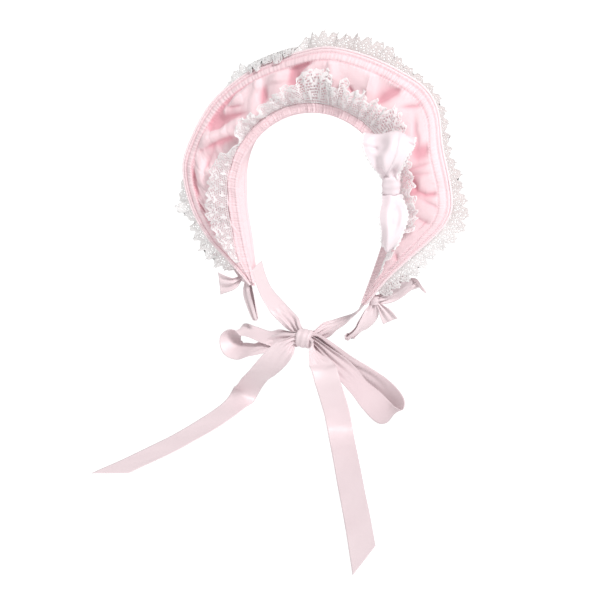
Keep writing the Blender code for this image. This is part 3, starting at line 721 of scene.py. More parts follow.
def makeStitches():
    # the threads of the two casing lines
    sewn = bmesh.new()
    reach = bonnet["tip"] - stitch["fromTip"]
    fine = np.linspace(-reach, reach, 6000)
    for inset in brim["stitchIn"]:
        share = np.maximum(1 - inset / brimDepth(fine), 0.05)
        thick, height = frontShape(fine, share)
        line = overBrim(fine, share, thick + height + stitch["lift"])
        walked = walkedTo(line)
        count = int(walked[-1] / (stitch["long"] + stitch["gap"]))
        for start in (np.arange(count) + 0.2) * walked[-1] / count:
            first, last = (np.array([np.interp(at, walked, line[:, k]) for k in range(3)])
                           for at in (start, start + stitch["long"]))
            way = Vector(last - first)
            turn = way.to_track_quat("X", "Z").to_matrix().to_4x4()
            thread = stitch["thick"] * mm
            size = Matrix.Diagonal((way.length / 2 * mm, thread, thread, 1.0))
            place = Matrix.Translation(Vector((first + last) / 2) * mm) @ turn @ size
            bmesh.ops.create_icosphere(sewn, subdivisions=1, radius=1.0, matrix=place)
    mesh = bpy.data.meshes.new("casing_stitches")
    sewn.to_mesh(mesh)
    sewn.free()
    addPiece(mesh, "casing_stitches", "pink_cotton", stitchThread, replaced=False)


print("brim: padded cotton with folds, puckers and a stitched casing")
makeBrim()
makeStitches()

# Piping: a thin covered cord round the outer edge

piping = {"radius": 1.15, "inset": 1.75, "fromTip": 0.4, "columns": 900, "sides": 10}


def makePiping():
    mesh, u, v = flatGrid("edge_piping", piping["columns"], piping["sides"])
    along = (2 * u - 1) * (bonnet["tip"] - piping["fromTip"])
    turn = v * 2 * math.pi
    radius = piping["radius"] * (1 + 0.06 * np.sin(along * 2.1) * np.sin(along * 0.37))
    centre = outlinePoint(along, piping["inset"])
    places = centre + outward(along) * (np.cos(turn) * radius)[:, None]
    places = places + facing(along) * (np.sin(turn) * radius)[:, None]
    layMesh(mesh, places, np.stack([along * 1.6, v * 7], -1))
    closeUp(mesh)
    addPiece(mesh, "edge_piping", "pink_cotton", paleCotton)


print("piping")
makePiping()

# Face binding: a shirred strip that rolls over the seam

binding = {
    "wide": 7.6, "behind": 3.2, "round": 3.0, "thick": 0.6, "pitch": 2.5,
    "columns": 760, "rows": 14,
    "knobsFrom": -25, "knobsTo": 62,    # where the shirring is knobbly
    "knobs": 1.3, "ruck": 0.26, "groove": 0.45,
}


def makeBinding():
    mesh, u, v = flatGrid("face_binding", binding["columns"], binding["rows"])
    along = (2 * u - 1) * bonnet["tip"] * bonnet["sewnShare"]
    depth = brimDepth(along)
    wide = np.minimum(binding["wide"], depth * 0.45)
    hidden = binding["behind"] + binding["round"]
    walked = v * (wide + hidden)        # from behind the seam, round it, to the front
    onFront = walked - hidden
    turn = np.clip(walked / hidden, 0, 1) * math.pi
    phase = along * 2 * math.pi / binding["pitch"] + 1.3 * np.sin(along * 0.5) + np.sin(along * 1.3)
    middle = hump(onFront, wide * 0.62, 1.0)
    knobs = 1 + binding["knobs"] * between(along, binding["knobsFrom"], binding["knobsTo"], 15)
    tall = binding["ruck"] + 0.14 * np.sin(along * 0.77)
    ruck = tall * knobs * np.sin(phase) * (1 - 0.6 * middle) - binding["groove"] * middle
    out = np.where(onFront > 0, onFront, -np.sin(turn) * 1.6)
    lift = np.where(onFront > 0, 0.75, -np.cos(turn) * 2.6 - 0.9)
    lift = brim["seamThick"] + lift + ruck * np.where(onFront > 0, 1, np.sin(turn / 2))
    places = overBrim(along, np.maximum(out, 0) / depth, lift)
    places = places + seamOutward(along) * np.minimum(out, 0)[:, None]
    layMesh(mesh, places, np.stack([along * 1.6, walked], -1))
    # painted shade in the hollows of the shirring and in its middle groove
    setAttribute(mesh, "crease", np.clip(-ruck, 0, 1) * 0.3)
    made = addPiece(mesh, "face_binding", "pink_cotton", pinkCotton)
    thicken(made, binding["thick"])


print("binding")
makeBinding()

# Crown band: a plain cotton band that runs back from the seam

band = {
    "deep": 32.0, "tip": 12.0, "thick": 1.3, "columns": 360, "rows": 26,
    "start": (1.0, 3.0),                # out from the seam and back from it
    "hemIn": 6.0, "seamIn": 2.5, "sewnWide": 0.8,
}


def makeBand():
    mesh, u, v = flatGrid("crown_band", band["columns"], band["rows"])
    along = (2 * u - 1) * bonnet["tip"] * bonnet["sewnShare"]
    high = np.cos(np.minimum(np.abs(along) / bonnet["tip"], 1.0) * math.pi / 2)
    deep = band["tip"] + (band["deep"] - band["tip"]) * high ** 0.7
    walked = v * deep
    hem = hump(deep - walked, band["hemIn"], band["sewnWide"])
    hem = hem + hump(walked, band["seamIn"], band["sewnWide"])
    ripple = 0.35 * np.sin(along * 0.9 + 1.2 * np.sin(along * 0.13)) * np.exp(-walked / 7)
    ripple = ripple + 0.5 * np.sin(along * 0.11) * v
    out, back = band["start"]
    spread = out + 2.0 * v + ripple - 0.35 * hem
    places = seamPoint(along) + seamOutward(along) * spread[:, None]
    places = places + np.stack([np.zeros_like(u), back + walked, np.zeros_like(u)], -1)
    layMesh(mesh, places, np.stack([along, walked], -1))
    # painted shade along the two sewn lines near the hem and the seam
    setAttribute(mesh, "crease", hem * 0.35)
    made = addPiece(mesh, "crown_band", "pink_cotton", pinkCotton)
    thicken(made, band["thick"])


print("crown band")
makeBand()

# Lace: cotton threads worked in a repeat of net, diamonds and a scalloped fan

laceWork = {
    "pitch": 2.2,                       # one hole and one thread
    "thick": 0.30, "scallop": 5.6, "picot": 1.4,
    "uneven": 0.09,                     # how far a thread strays
    "closed": 0.73,                     # share of the lace that is thread
}
innerChart = (                          # o is a hole and # is thread
    "oooooo",
    "oo#ooo",
    "o###oo",
    "oo#ooo",
    "oooooo",
    "ooooo#",
    "#ooo##",
    "o#o#oo",
    "oo#ooo",
    "#oooo#",
    "##oo##",
)
outerChart = (
    "o#oo#o",
    "o##o#o",
    "oo#oo#",
    "o####o",
    "#o##o#",
    "oo#oo#",
    "o#oo#o",
    "#o##o#",
    "##oo##",
)


def laceMesh(name, chart, repeats, thread, seed):
    # returns the flat lace with its holes, and where each vertex lies on it, in mm
    across = len(chart[0])
    columns = repeats * across * 2
    rows = len(chart) * 3 + 1
    cut = np.zeros((rows, columns), bool)
    for k, line in enumerate(chart):
        for c, mark in enumerate(line):
            if mark == "o":
                cut[3 * k + 1:3 * k + 3, 2 * c + 1::2 * across] = True
    mesh, u, v = flatGrid(name, columns, rows, cut)
    i, j = np.rint(u * columns).astype(int), np.rint(v * rows).astype(int)
    pitch = laceWork["pitch"]
    x = (i // 2) * pitch + (i % 2) * thread
    y = (j // 3) * pitch + np.array([0.0, thread, (pitch + thread) / 2])[j % 3]
    holeRow = np.maximum((j - 1) // 3, 0)
    x = x + np.where(holeRow % 2 == 0, 0.25, -0.25) * pitch        # rows of holes are staggered
    leftSide = np.where(i % 2 == 1, 1.0, -1.0)
    x = x + leftSide * np.where(j % 3 == 2, -0.13, 0.10)            # and the holes are rounded
    full = len(chart) * pitch + thread
    repeat = across * pitch
    arc = np.abs(np.sin(math.pi * (x + 0.5 * pitch) / repeat)) ** 0.8
    y = y - laceWork["scallop"] * (1 - arc) * (y / full) ** 2.2
    y = y + np.where((j == rows) & (i % 4 >= 2), laceWork["picot"], 0.0)
    rng = np.random.default_rng(seed)
    x = x + rng.normal(0, laceWork["uneven"], len(x))
    y = y + rng.normal(0, laceWork["uneven"], len(y))
    return mesh, x, y, repeats * repeat, full


def layAlong(piece, chart, freeEdge, strength):
    # where on the brim each mm of flat lace falls, fuller where it is ruffled
    along = np.linspace(piece["from"], piece["to"], 1200)
    edge = freeEdge(along)
    steps = np.linalg.norm(np.diff(edge, axis=0), axis=1)
    full = 1 + piece["fullness"] * (strength(along[1:]) + strength(along[:-1])) / 2
    flat = np.concatenate([[0.0], np.cumsum(steps * full)])
    repeat = len(chart[0]) * laceWork["pitch"]
    repeats = int(round(flat[-1] / repeat))
    flat *= repeats * repeat / flat[-1]
    return repeats, lambda x: np.interp(x, flat, along)


def wavesAlong(length, mean, seed):
    # an uneven run of waves: the phase and the strength at each place along the flat lace
    rng = np.random.default_rng(seed)
    count = int(length / mean) + 2
    steps = mean * (1 + 0.3 * rng.uniform(-1, 1, count))
    steps = steps * length / steps.sum()
    marks = np.concatenate([[0.0], np.cumsum(steps)])
    strength = 1 + 0.35 * rng.uniform(-1, 1, count + 1)

    def read(x):
        phase = np.interp(x, marks, np.arange(count + 1) * 2 * math.pi)
        return phase, np.interp(x, marks, strength)

    return read


def startLace(name, piece, chart, shape, freeEdge):
    # the lace cut to length, then for each vertex its place on the flat lace and round the brim,
    # its wave, and its row of the shape
    def strength(along):
        return readRows(shape, along)[:, 2]

    repeats, toAlong = layAlong(piece, chart, freeEdge, strength)
    mesh, x, y, length, full = laceMesh(name, chart, repeats, piece["thread"], piece["seed"])
    wave = wavesAlong(length, piece["waveFlat"], piece["seed"] + 1)(x)
    along = toAlong(x)
    return mesh, (x, y), (length, full), along, wave, readRows(shape, along).T


def finishLace(name, mesh, look, places, flat, measures, paintedShade=None):
    length, full = measures
    layMesh(mesh, places, np.stack(flat, -1))
    if paintedShade is not None:
        setAttribute(mesh, "paintedShade", paintedShade)
    made = addPiece(mesh, name, "white_lace", look)
    thicken(made, laceWork["thick"], even=False)


innerLace = {
    "from": -200.0, "to": 196.0, "fullness": 0.3, "rootIn": 8.0, "waveFlat": 21.0,
    "wave": 3.0, "sway": 2.2, "thread": 0.78, "seed": 5,
    "footWave": 0.45, "footPitch": 4.4, # the small puckers along its sewn foot
}
innerShape = np.array([
    # along, reach from the seam, height over the brim, strength of the ruffle
    (-200, 10, 4, 0.3), (-187, 15, 6, 0.5), (-173, 23, 6, 0.5), (-156, 29, 5, 0.5),
    (-147, 29, 5, 0.5), (-135, 27, 6, 0.5), (-122, 24, 7, 0.5), (-115, 23, 9, 0.6),
    (-106, 18, 13, 0.6), (-98, 9, 20, 0.5), (-87, 1, 19, 0.5), (-80, 9, 18, 0.7),
    (-73.5, 17, 16, 0.7), (-59, 14, 16, 0.8), (-52, 11, 17, 0.9), (-44, 15, 15, 0.9),
    (-35, 18, 14, 1.0), (-27, 24, 12, 1.0), (-18, 25, 11, 1.0), (-12, 33, 8, 1.0),
    (-4, 41, 6, 0.9), (1, 37, 6, 0.9), (4, 41, 6, 0.9), (9, 26, 10, 1.0), (16, 36, 7, 0.9),
    (22, 27, 10, 1.0), (29, 36, 7, 0.9), (35, 27, 9, 1.0), (42, 35, 8, 0.9), (48, 32, 7, 0.8),
    (55, 42, 4, 0.6), (64, 38, 3, 0.4), (74, 33, 3, 0.3), (85, 27, 7, 0.3), (103, 25, 6, 0.6),
    (115, 24, 7, 0.8), (131, 29, 5, 0.8), (144, 29, 5, 0.9), (156, 21, 8, 0.9),
    (178, 17, 12, 0.6), (196, 10, 5, 0.3),
])


def makeInnerLace():
    # stands up from its sewn foot and leans out over the front of the brim
    piece = innerLace
    mesh, (x, y), measures, along, (phase, soft), (reach, high, strength) = startLace(
        "inner_lace", piece, innerChart, innerShape,
        lambda a: overBrim(a, np.minimum(readRows(innerShape, a)[:, 0] / brimDepth(a), 0.9)),
    )
    t = np.clip(y / measures[1], 0, 1.2)
    depth = brimDepth(along)
    root = np.minimum(piece["rootIn"], depth * 0.4)
    out = root + (reach - root) * t
    up = 1.0 + (high - 1.0) * np.sin(np.minimum(t, 1.1) * math.pi / 2) ** 1.2
    slope = np.arctan2(high, np.maximum(reach - root, 0.1))
    swing = piece["wave"] * strength * soft * np.cos(phase) * (0.12 + 0.88 * t ** 0.9)
    foot = np.cos(x * 2 * math.pi / piece["footPitch"]) * (1 - t) ** 2
    swing = swing + piece["footWave"] * foot
    out = out - np.sin(slope) * swing
    up = up + np.cos(slope) * swing + 0.6 * piece["wave"] * strength * t
    up = np.maximum(up, 0.9 + 0.5 * t)
    along = np.clip(along + piece["sway"] * strength * np.sin(2 * phase) * t, -224, 224)
    places = overBrim(along, np.clip(out / depth, -0.05, 0.93), brim["halfThick"] + up)
    finishLace("inner_lace", mesh, whiteLace, places, (x, y), measures)


outerLace = {
    "from": -208.0, "to": 214.0, "fullness": 0.28, "rootIn": 7.0, "waveFlat": 30.0,
    "wave": 3.2, "sway": 2.0, "thread": 1.0, "seed": 23,
    "behind": 1.3, "clear": 2.0,        # how far it is sewn behind the edge, and kept clear of it
}
outerShape = np.array([
    # along, reach past the edge, lean to the back, strength of the ruffle
    (-208, 13, 2, 0.3), (-195, 20, -2, 0.5), (-184, 20, -2, 0.6), (-169, 20, 0, 0.7),
    (-159, 15, 3, 0.7), (-148, 20, 0, 0.7), (-138, 15, 4, 0.6), (-129, 10, 7, 0.5),
    (-114, 8.5, 8, 0.5), (-99, 8, 9, 0.5), (-84, 6, 12, 0.4), (-69, 9, 10, 0.4),
    (-58, 16, 6, 0.4), (-47, 14, 7, 0.35), (-39, 11, 9, 0.3), (-27, 12, 9, 0.3),
    (-18, 16, 8, 0.4), (-5, 18, 6, 0.5), (2, 14, 9, 0.5), (12, 18, 6, 0.5), (24, 16, 8, 0.5),
    (31, 16, 8, 0.45), (41, 8, 12, 0.4), (61, 5, 14, 0.3), (79, 5, 14, 0.3), (95, 6, 13, 0.4),
    (106, 11, 9, 0.35), (112, 9, 10, 0.3), (126, 16, 5, 0.2), (139, 18, 2, 0.15),
    (158, 14, 3, 0.15), (168, 15, 3, 0.2), (182, 17, 3, 0.2), (199, 14, 3, 0.2),
    (214, 12, 3, 0.15),
])
turnedOver = {                          # where the lace falls over the front of the edge
    "from": -54, "to": -16, "soft": 7.0,
    "rise": 8.5, "fall": 9.5, "forward": 4.6,
}


def makeOuterLace():
    # hangs off the back of the edge and stands out past it
    piece, turned = outerLace, turnedOver
    mesh, (x, y), measures, along, (phase, soft), (reach, lean, strength) = startLace(
        "outer_lace", piece, outerChart, outerShape,
        lambda a: outlinePoint(a) + outward(a) * readRows(outerShape, a)[:, :1] * 0.6,
    )
    t = np.clip(y / measures[1], 0, 1.2)
    depth = brimDepth(along)
    inside = np.minimum(piece["rootIn"], depth * 0.3)
    swing = piece["wave"] * strength * soft * np.cos(phase) * (0.1 + 0.9 * t)
    out = -inside + (inside + reach) * t
    back = piece["behind"] + lean * t * t + swing + piece["wave"] * strength * t
    back = back + piece["clear"] * ease((out + 3) / 4)
    over = between(along, turned["from"], turned["to"], turned["soft"])
    lift = -inside + (inside + turned["rise"]) * np.sin(np.minimum(t / 0.7, 1) * math.pi / 2)
    folded = lift - (turned["fall"] + 2 * np.cos(phase)) * ease((t - 0.62) / 0.38)
    front = ease((t - 0.45) / 0.35)
    foldedBack = piece["behind"] * (1 - front) - (turned["forward"] + swing * 0.5) * front
    out = out * (1 - over) + folded * over
    back = back * (1 - over) + foldedBack * over
    along = along + piece["sway"] * strength * np.sin(2 * phase) * t
    places = overBrim(along, 1 + np.minimum(out, 0) / depth, -brim["edgeThick"] - back)
    places = places + outward(along) * np.maximum(out, 0)[:, None]
    # painted shade: greyer at the top and on the wearer's left, where the key light falls most, and
    # none where it is turned over, to keep that part white
    paintedShade = 0.35 + 0.65 * ease((along + 50) / 60) - 0.5 * ease((along - 120) / 40) - 0.35 * over
    finishLace("outer_lace", mesh, edgeLace, places, (x, y), measures, paintedShade)


print("inner and outer lace")
makeInnerLace()
makeOuterLace()

# Satin ribbons

ribbonRows = {
    # x, y and z on the centre line, the way of the ribbon's width in x, y and z, and the width
    "left_tie": (
        (59.5, -20.5, -160.0, 0.0, -1.0, 0.0, 24), (55.6, -20.5, -172.0, 0.0, -1.0, 0.0, 24),
        (49.5, -21.0, -186.0, 0.0, -1.0, 0.0, 24), (39.0, -24.0, -197.0, 0.0, -1.0, -0.1, 24),
        (26.0, -30.0, -205.0, 0.0, -0.9, -0.4, 18), (11.3, -39.3, -212.5, 0.0, 0.0, -1.0, 12),
    ),
    "right_tie": (
        (-59.5, -20.5, -160.0, 0.0, -1.0, 0.0, 24), (-55.6, -20.5, -172.0, 0.0, -1.0, 0.0, 24),
        (-49.0, -21.0, -186.0, 0.0, -1.0, 0.0, 24), (-37.0, -24.0, -197.5, 0.0, -1.0, -0.1, 24),
        (-23.0, -30.0, -205.0, 0.0, -0.9, -0.4, 18), (-7.3, -39.3, -212.5, 0.0, 0.0, -1.0, 12),
    ),
    "chin_left_loop": (
        (13.7, -43.2, -216.0, 0.0, 0.0, -1.0, 12), (24.0, -45.0, -222.5, -0.4, 0.1, -0.9, 18),
        (40.5, -41.0, -237.5, -0.54, -0.1, -0.8, 22), (61.0, -34.5, -251.5, -0.54, -0.1, -0.8, 23),
        (78.5, -30.5, -264.0, -0.6, 0.0, -0.75, 24), (90.5, -31.5, -275.0, -0.66, 0.1, -0.7, 24),
        (93.0, -39.0, -282.0, -0.66, 0.05, -0.7, 24), (86.0, -46.5, -279.5, -0.64, -0.3, -0.6, 24),
        (73.0, -48.5, -268.0, -0.55, -0.7, -0.35, 24), (60.0, -49.5, -256.0, -0.4, -0.9, 0.0, 24),
        (48.0, -50.5, -243.0, -0.5, -0.8, -0.2, 22), (30.0, -50.5, -228.5, -0.4, -0.3, -0.85, 17),
        (13.7, -48.3, -217.0, 0.0, 0.0, -1.0, 12),
    ),
    "chin_right_loop": (
        (-8.2, -43.4, -217.0, 0.0, 0.0, -1.0, 12), (-20.0, -44.5, -221.0, 0.0, -0.6, -0.8, 17),
        (-38.0, -45.0, -222.5, 0.0, -0.98, -0.1, 24),
        (-57.0, -43.0, -220.5, -0.15, -0.98, 0.0, 24),
        (-68.5, -44.5, -220.0, -0.45, -0.88, -0.05, 24),
        (-74.5, -49.0, -228.5, -0.6, -0.8, -0.1, 24),
        (-70.0, -54.0, -236.0, -0.45, -0.85, -0.25, 24),
        (-60.0, -56.5, -236.0, -0.1, -0.9, -0.35, 24),
        (-49.0, -57.0, -232.0, 0.1, -0.95, -0.1, 24),
        (-32.0, -51.5, -225.0, 0.1, -0.85, -0.4, 20), (-19.0, -49.0, -220.5, 0.0, -0.4, -0.9, 16),
        (-8.2, -47.9, -217.5, 0.0, 0.0, -1.0, 12),
    ),
    "chin_left_tail": (
        (12.2, -53.0, -217.5, 0.2, 0.0, -1.0, 12), (18.0, -60.0, -223.5, 0.8, 0.2, -0.6, 16),
        (27.0, -67.0, -228.5, 0.93, 0.3, -0.15, 24), (34.0, -74.5, -230.5, 0.9, 0.4, 0.0, 24),
        (39.0, -79.5, -238.0, 0.87, 0.45, 0.12, 24), (43.0, -78.5, -252.0, 0.87, 0.45, 0.15, 24),
        (47.5, -77.0, -270.0, 0.88, 0.45, 0.1, 24), (52.5, -80.0, -286.0, 0.89, 0.45, 0.0, 24),
        (58.0, -89.0, -291.4, 0.89, 0.45, 0.0, 24), (76.0, -123.5, -291.4, 0.89, 0.45, 0.0, 24),
        (104.0, -178.0, -291.4, 0.89, 0.46, 0.0, 24), (132.0, -232.0, -291.4, 0.89, 0.45, 0.0, 24),
        (171.5, -311.0, -291.4, 0.89, 0.45, 0.0, 24),
    ),
    "chin_right_tail": (
        (-8.6, -53.0, -218.0, 0.2, 0.0, -1.0, 12), (-14.0, -60.0, -224.5, 0.9, 0.1, -0.35, 21),
        (-24.0, -64.0, -237.0, 0.93, 0.28, -0.22, 24), (-35.0, -62.5, -250.5, 0.92, 0.35, -0.1, 24),
        (-48.0, -56.0, -266.0, 0.92, 0.38, 0.0, 24), (-58.5, -54.0, -283.0, 0.93, 0.3, 0.1, 24),
        (-64.0, -64.0, -291.2, 0.97, -0.1, 0.0, 24), (-68.0, -93.0, -291.4, 0.95, -0.25, 0.0, 24),
        (-76.0, -130.0, -291.4, 0.96, -0.28, 0.0, 24), (-92.0, -181.0, -291.4, 0.95, -0.3, 0.0, 24),
        (-118.0, -247.0, -291.4, 0.92, -0.4, 0.0, 24),
    ),
    "side_bow_upper_loop": (
        (80.5, -27.5, -37.9, 0.97, 0.1, -0.1, 15), (79.5, -22.8, -27.0, 0.97, 0.1, -0.1, 27),
        (78.5, -19.0, -14.0, 0.97, 0.1, -0.08, 38), (77.5, -19.0, -7.5, 0.97, 0.1, -0.05, 45),
        (77.5, -26.0, -5.5, 0.97, 0.1, -0.05, 47), (78.5, -34.0, -11.5, 0.97, 0.1, -0.05, 44),
        (80.0, -38.0, -20.5, 0.97, 0.1, -0.08, 34), (81.0, -38.5, -30.0, 0.97, 0.1, -0.1, 24),
        (81.0, -34.8, -37.9, 0.97, 0.1, -0.1, 15),
    ),
    "side_bow_lower_loop": (
        (82.0, -29.7, -61.9, 0.93, 0.2, -0.1, 15), (86.5, -33.9, -72.0, 0.92, 0.25, -0.1, 21),
        (89.0, -39.8, -87.0, 0.92, 0.25, -0.1, 18), (89.0, -46.0, -99.5, 0.92, 0.25, -0.1, 12),
        (88.0, -51.0, -105.0, 0.92, 0.25, -0.1, 8), (89.5, -55.0, -99.0, 0.92, 0.25, -0.1, 12),
        (92.0, -54.5, -87.0, 0.92, 0.25, -0.1, 18), (91.0, -47.5, -72.0, 0.92, 0.25, -0.1, 25),
        (85.0, -35.6, -61.9, 0.93, 0.2, -0.1, 18),
    ),
    "left_end_bow_lower_loop": (
        (65.0, -27.1, -175.6, 0.8, 0.5, 0.1, 8), (63.0, -28.5, -184.0, 0.7, 0.6, 0.2, 15),
        (55.0, -34.5, -197.0, 0.6, 0.7, 0.3, 15), (46.5, -40.5, -207.0, 0.6, 0.7, 0.3, 10),
        (46.5, -43.0, -208.0, 0.6, 0.7, 0.3, 10), (57.0, -39.0, -198.0, 0.6, 0.7, 0.3, 15),
        (65.0, -33.5, -184.0, 0.7, 0.6, 0.2, 15), (66.0, -30.9, -175.6, 0.8, 0.5, 0.1, 8),
    ),
    "left_end_bow_upper_loop": (
        (72.6, -26.4, -168.0, 0.3, 0.3, -0.9, 8), (80.0, -17.5, -161.5, 0.3, 0.3, -0.9, 13),
        (91.5, -9.5, -154.5, 0.3, 0.3, -0.9, 14), (96.5, -10.5, -152.5, 0.3, 0.3, -0.9, 14),
        (93.5, -14.0, -156.0, 0.3, 0.3, -0.9, 14), (82.0, -22.0, -165.8, 0.3, 0.3, -0.9, 13),
        (72.6, -29.5, -169.5, 0.3, 0.3, -0.9, 8),
    ),
    "left_end_bow_square_tail": (
        (72.4, -31.1, -173.6, 0.3, 0.1, 0.9, 5), (78.0, -30.5, -180.0, 0.8, 0.1, 0.5, 12),
        (83.0, -29.0, -189.5, 0.95, 0.2, 0.1, 16),
    ),
    "left_end_bow_pointed_tail": (
        (72.0, -24.4, -172.5, 0.2, 0.3, -0.9, 6), (82.5, -9.0, -164.5, 0.2, 0.3, -0.9, 13),
        (99.0, -4.5, -158.0, 0.4, 0.3, -0.9, 13), (111.0, -10.0, -163.0, 0.5, 0.3, -0.8, 3),
    ),
    "right_end_bow_lower_loop": (
        (-65.0, -27.1, -175.6, 0.8, -0.5, 0.1, 8), (-63.0, -29.5, -183.5, 0.8, -0.5, 0.1, 12),
        (-57.5, -34.5, -195.0, 0.8, -0.5, 0.1, 11), (-51.5, -40.5, -206.0, 0.8, -0.5, 0.1, 6),
        (-52.0, -43.0, -206.5, 0.8, -0.5, 0.1, 6), (-59.0, -39.5, -195.0, 0.8, -0.5, 0.1, 11),
        (-65.0, -34.5, -183.5, 0.8, -0.5, 0.1, 12), (-66.0, -31.1, -175.6, 0.8, -0.5, 0.1, 8),
    ),
    "right_end_bow_square_tail": (
        (-72.4, -31.6, -171.5, 0.1, 0.0, -0.95, 6), (-78.0, -37.0, -175.0, 0.15, 0.0, -0.95, 13),
        (-90.5, -40.0, -176.5, 0.35, 0.0, -0.95, 23),
    ),
}
for tail in ("upper_loop", "pointed_tail"):
    ribbonRows["right_end_bow_" + tail] = tuple(
        (-x, y, z, -ax, ay, az, wide)
        for x, y, z, ax, ay, az, wide in ribbonRows["left_end_bow_" + tail]
    )
ribbonFinish = {
    # real width, pleats across, slant of the far end
    "left_tie": (24, 3, 0), "right_tie": (24, 3, 0),
    "chin_left_loop": (24, 3, 0), "chin_right_loop": (24, 3, 0),
    "chin_left_tail": (24, 3, 48), "chin_right_tail": (24, 3, 25),
    "side_bow_upper_loop": (40, 2, 0), "side_bow_lower_loop": (22, 1, 0),
    "left_end_bow_lower_loop": (15, 2, 0), "left_end_bow_upper_loop": (15, 2, 0),
    "left_end_bow_square_tail": (16, 2, 0), "left_end_bow_pointed_tail": (14, 2, 0),
    "right_end_bow_lower_loop": (13, 2, 0), "right_end_bow_upper_loop": (15, 2, 0),
    "right_end_bow_square_tail": (23, 2, 0), "right_end_bow_pointed_tail": (14, 2, 0),
}
ribbonWork = {"thick": 0.35, "rows": 20, "step": 1.4, "most": 260, "fewest": 30, "deepest": 1.2}
picot = {"rows": 2, "satinRows": 44, "step": 0.9, "inner": 0.6, "outer": 1.1, "point": 0.9}
flatBelow = -285.0                      # the long tails lie flat below this height


def bowRelief(node, walked, across):
    # how the satin of the side bow stands up or sinks in over its middle surface
    if node == "side_bow_upper_loop":
        top = ease((walked - 26) / 14) * ease((84 - walked) / 22)
        rise = 6.5 * hump(across, 0.62, 0.28) * top
        crease = np.interp(walked, (34, 52, 60, 68, 78), (0.66, 0.72, 0.74, 0.68, 0.47))
        past = across - crease
        shown = between(walked, 38, 86, 8)
        rise -= (2.6 * np.exp(-np.abs(past) / 0.035) + 4.5 * ease(past / 0.26)) * shown
        hollow = ((walked - 52.5) / 7.5) ** 2 + ((across - 0.33) / 0.19) ** 2
        rise -= 5.0 * np.exp(-hollow ** 2)
        slit = hump(walked, 54, 1.6) * ease((0.32 - across) / 0.08)
        puff = np.exp(-(((walked - 66) / 9) ** 2) - ((across - 0.42) / 0.16) ** 2)
        return rise - 2.4 * slit + 2.2 * puff
    oval = ((walked - 87) / 17) ** 2 + ((across - 0.56) / 0.22) ** 2
    belly = np.sin(math.pi * np.clip(across, 0, 1)) * ease(walked / 20) * ease((112 - walked) / 20)
    front = ease((walked - 52) / 8)
    return front * (3.0 * np.exp(-oval ** 2) - 4.0 * belly) + (1 - front) * 2.0 * belly


def tuckIn(node, points):
    # carries both ends of a loop, or the near end of a tail, on into the knot
    centre = np.array(knots[knotOf(node)][0])
    far = np.linalg.norm(points[[0, -1], :3] - centre, axis=1)
    both = node.endswith("loop")
    for end in (0, 1):
        if both or far[end] == far.min():
            inside = points[-end].copy()
            inside[:3] += (centre - inside[:3]) * min(4.5 / far[end], 0.5)
            points = np.insert(points, len(points) if end else 0, inside, axis=0)
    return points


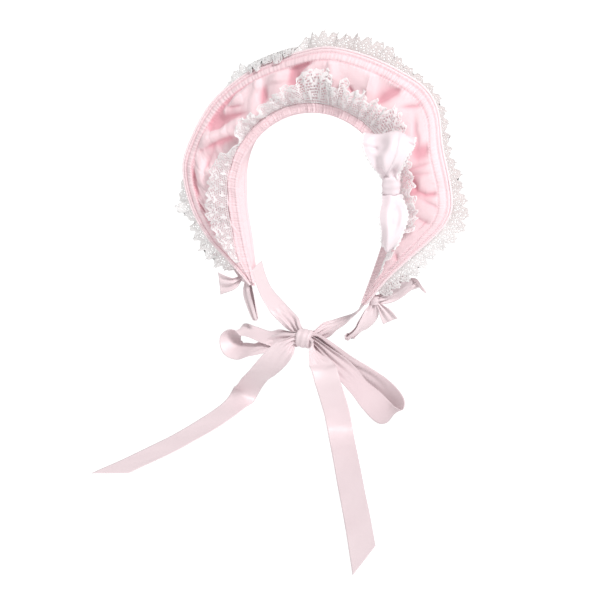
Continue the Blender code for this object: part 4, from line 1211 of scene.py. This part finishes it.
def makeRibbon(node):
    points = tuckIn(node, np.array(ribbonRows[node], float))
    wideReal, pleats, slant = ribbonFinish[node]
    edged = node.startswith("side")
    rows = np.column_stack([walkedTo(points[:, :3]), points])
    total = rows[-1, 0]
    step = picot["step"] if edged else ribbonWork["step"]
    columns = int(np.clip(total / step, ribbonWork["fewest"], ribbonWork["most"]))
    satinRows = picot["satinRows"] if edged else ribbonWork["rows"]
    trim = picot["rows"] if edged else 0
    allRows = satinRows + 2 * trim
    mesh, u, v = flatGrid(node, columns, allRows)

    # across the ribbon, and past its edges where it has picots
    row = v * allRows
    across = np.clip((row - trim) / satinRows, 0, 1)
    past = np.where(row < trim, row - trim, np.maximum(row - trim - satinRows, 0))
    column = np.rint(u * columns).astype(int)
    point = np.where(column % 4 < 2, picot["point"], 0.0) * (np.abs(past) > 1.5)
    reach = np.interp(np.abs(past), (0, 1, 2), (0, picot["inner"], picot["outer"]))
    past = np.sign(past) * (reach + point)

    # along the ribbon
    walked = u * (total - slant * v)
    read = readRows(rows, walked)
    way = unit(readRows(rows, walked + 1)[:, :3] - readRows(rows, walked - 1)[:, :3])
    width = read[:, 3:6]
    width = unit(width - way * np.sum(width * way, axis=1, keepdims=True))
    normal = np.cross(way, width)

    # pleats where it is pinched, a slight hollow across it and a slow ripple
    wide = read[:, 6]
    pinch = np.clip(wideReal / wide - 1, 0, ribbonWork["deepest"])
    deep = wide / pleats * np.sqrt(pinch) / math.pi
    rise = deep * np.cos(2 * math.pi * pleats * across + 0.6 * np.sin(walked * 0.12))
    hollow = 0.5 * (4 * (across - 0.5) ** 2 - 0.4)
    rise = rise + hollow * ease(walked / 12) * ease((total - walked) / 12)
    rise = rise + 0.35 * np.sin(walked * 0.09 + 4 * across)
    if edged:
        rise = rise * 0.5 + bowRelief(node, walked, across)
    if node.endswith("tail") and node.startswith("chin"):
        rise = np.where(read[:, 2] < flatBelow, np.maximum(rise, -0.2) * 0.6, rise)
    places = read[:, :3] + width * (wide * (across - 0.5) + past)[:, None] + normal * rise[:, None]
    layMesh(mesh, places, np.stack([walked, across * wideReal + past], -1))

    corner = np.empty(len(mesh.loops), np.int32)
    mesh.loops.foreach_get("vertex_index", corner)
    middle = row[corner].reshape(-1, 4).mean(axis=1)
    trimmed = (middle < trim) | (middle > trim + satinRows)
    mesh.polygons.foreach_set("material_index", trimmed.astype(np.int32))
    looks = [satinOf(node), whiteLace] if edged else [satinOf(node)]
    made = addPiece(mesh, node, "pale_satin", *looks)
    thicken(made, ribbonWork["thick"])
    max(wideReal, 10) * mm
    knotOf(node)


def satinOf(node):
    if node.startswith("side"):
        return bowSatin
    # the chin loop at the wearer's left gets the painted-shade copy of the pale satin
    return shadedSatin if node == "chin_left_loop" else paleSatin


def knotOf(node):
    if node.startswith("side"):
        return "side_bow_knot"
    if "_end_bow_" in node:
        return node.split("_")[0] + "_end_bow_knot"
    return "chin_knot"


knots = {
    # centre, size, the way of the band's hollow: 0 for x and 2 for z
    "chin_knot": ((2.0, -46.0, -215.5), (18.0, 17.0, 17.0), 0),
    "side_bow_knot": ((81.5, -29.5, -49.5), (17.0, 13.0, 22.0), 2),
    "left_end_bow_knot": ((66.9, -29.3, -170.2), (9.0, 8.0, 10.0), 2),
    "right_end_bow_knot": ((-66.9, -29.3, -170.2), (9.0, 8.0, 10.0), 2),
}


def makeKnot(node):
    # a band of ribbon pulled tight round the middle of a bow
    centre, size, axis = knots[node]
    mesh, u, v = flatGrid(node, 72, 40)
    turn = u * 2 * math.pi
    across = (v - 0.5) * 2
    c, s = np.cos(turn), np.sin(turn)
    square = 2.6                        # 2 is a round section, and more is squarer
    rounder = (np.abs(c) ** square + np.abs(s) ** square) ** (-1 / square)
    inner = np.abs(across) ** 5
    creased = 1 + 0.035 * np.cos(across * 9 + 0.8 * np.sin(turn * 2))
    radius = rounder * (1 - 0.42 * inner) * creased
    first, second = [k for k in range(3) if k != axis]
    local = np.zeros((len(u), 3))
    local[:, axis] = across * (1 - 0.12 * inner) * size[axis] / 2
    local[:, first] = c * radius * size[first] / 2
    local[:, second] = s * radius * size[second] / 2
    layMesh(mesh, np.array(centre) + local, np.stack([u * 50, v * 24], -1))
    closeUp(mesh)
    addPiece(mesh, node, "pale_satin", satinOf(node))


print("satin bows, ties and tails")
for node in ribbonRows:
    makeRibbon(node)
for node in knots:
    makeKnot(node)

bpy.context.view_layer.update()
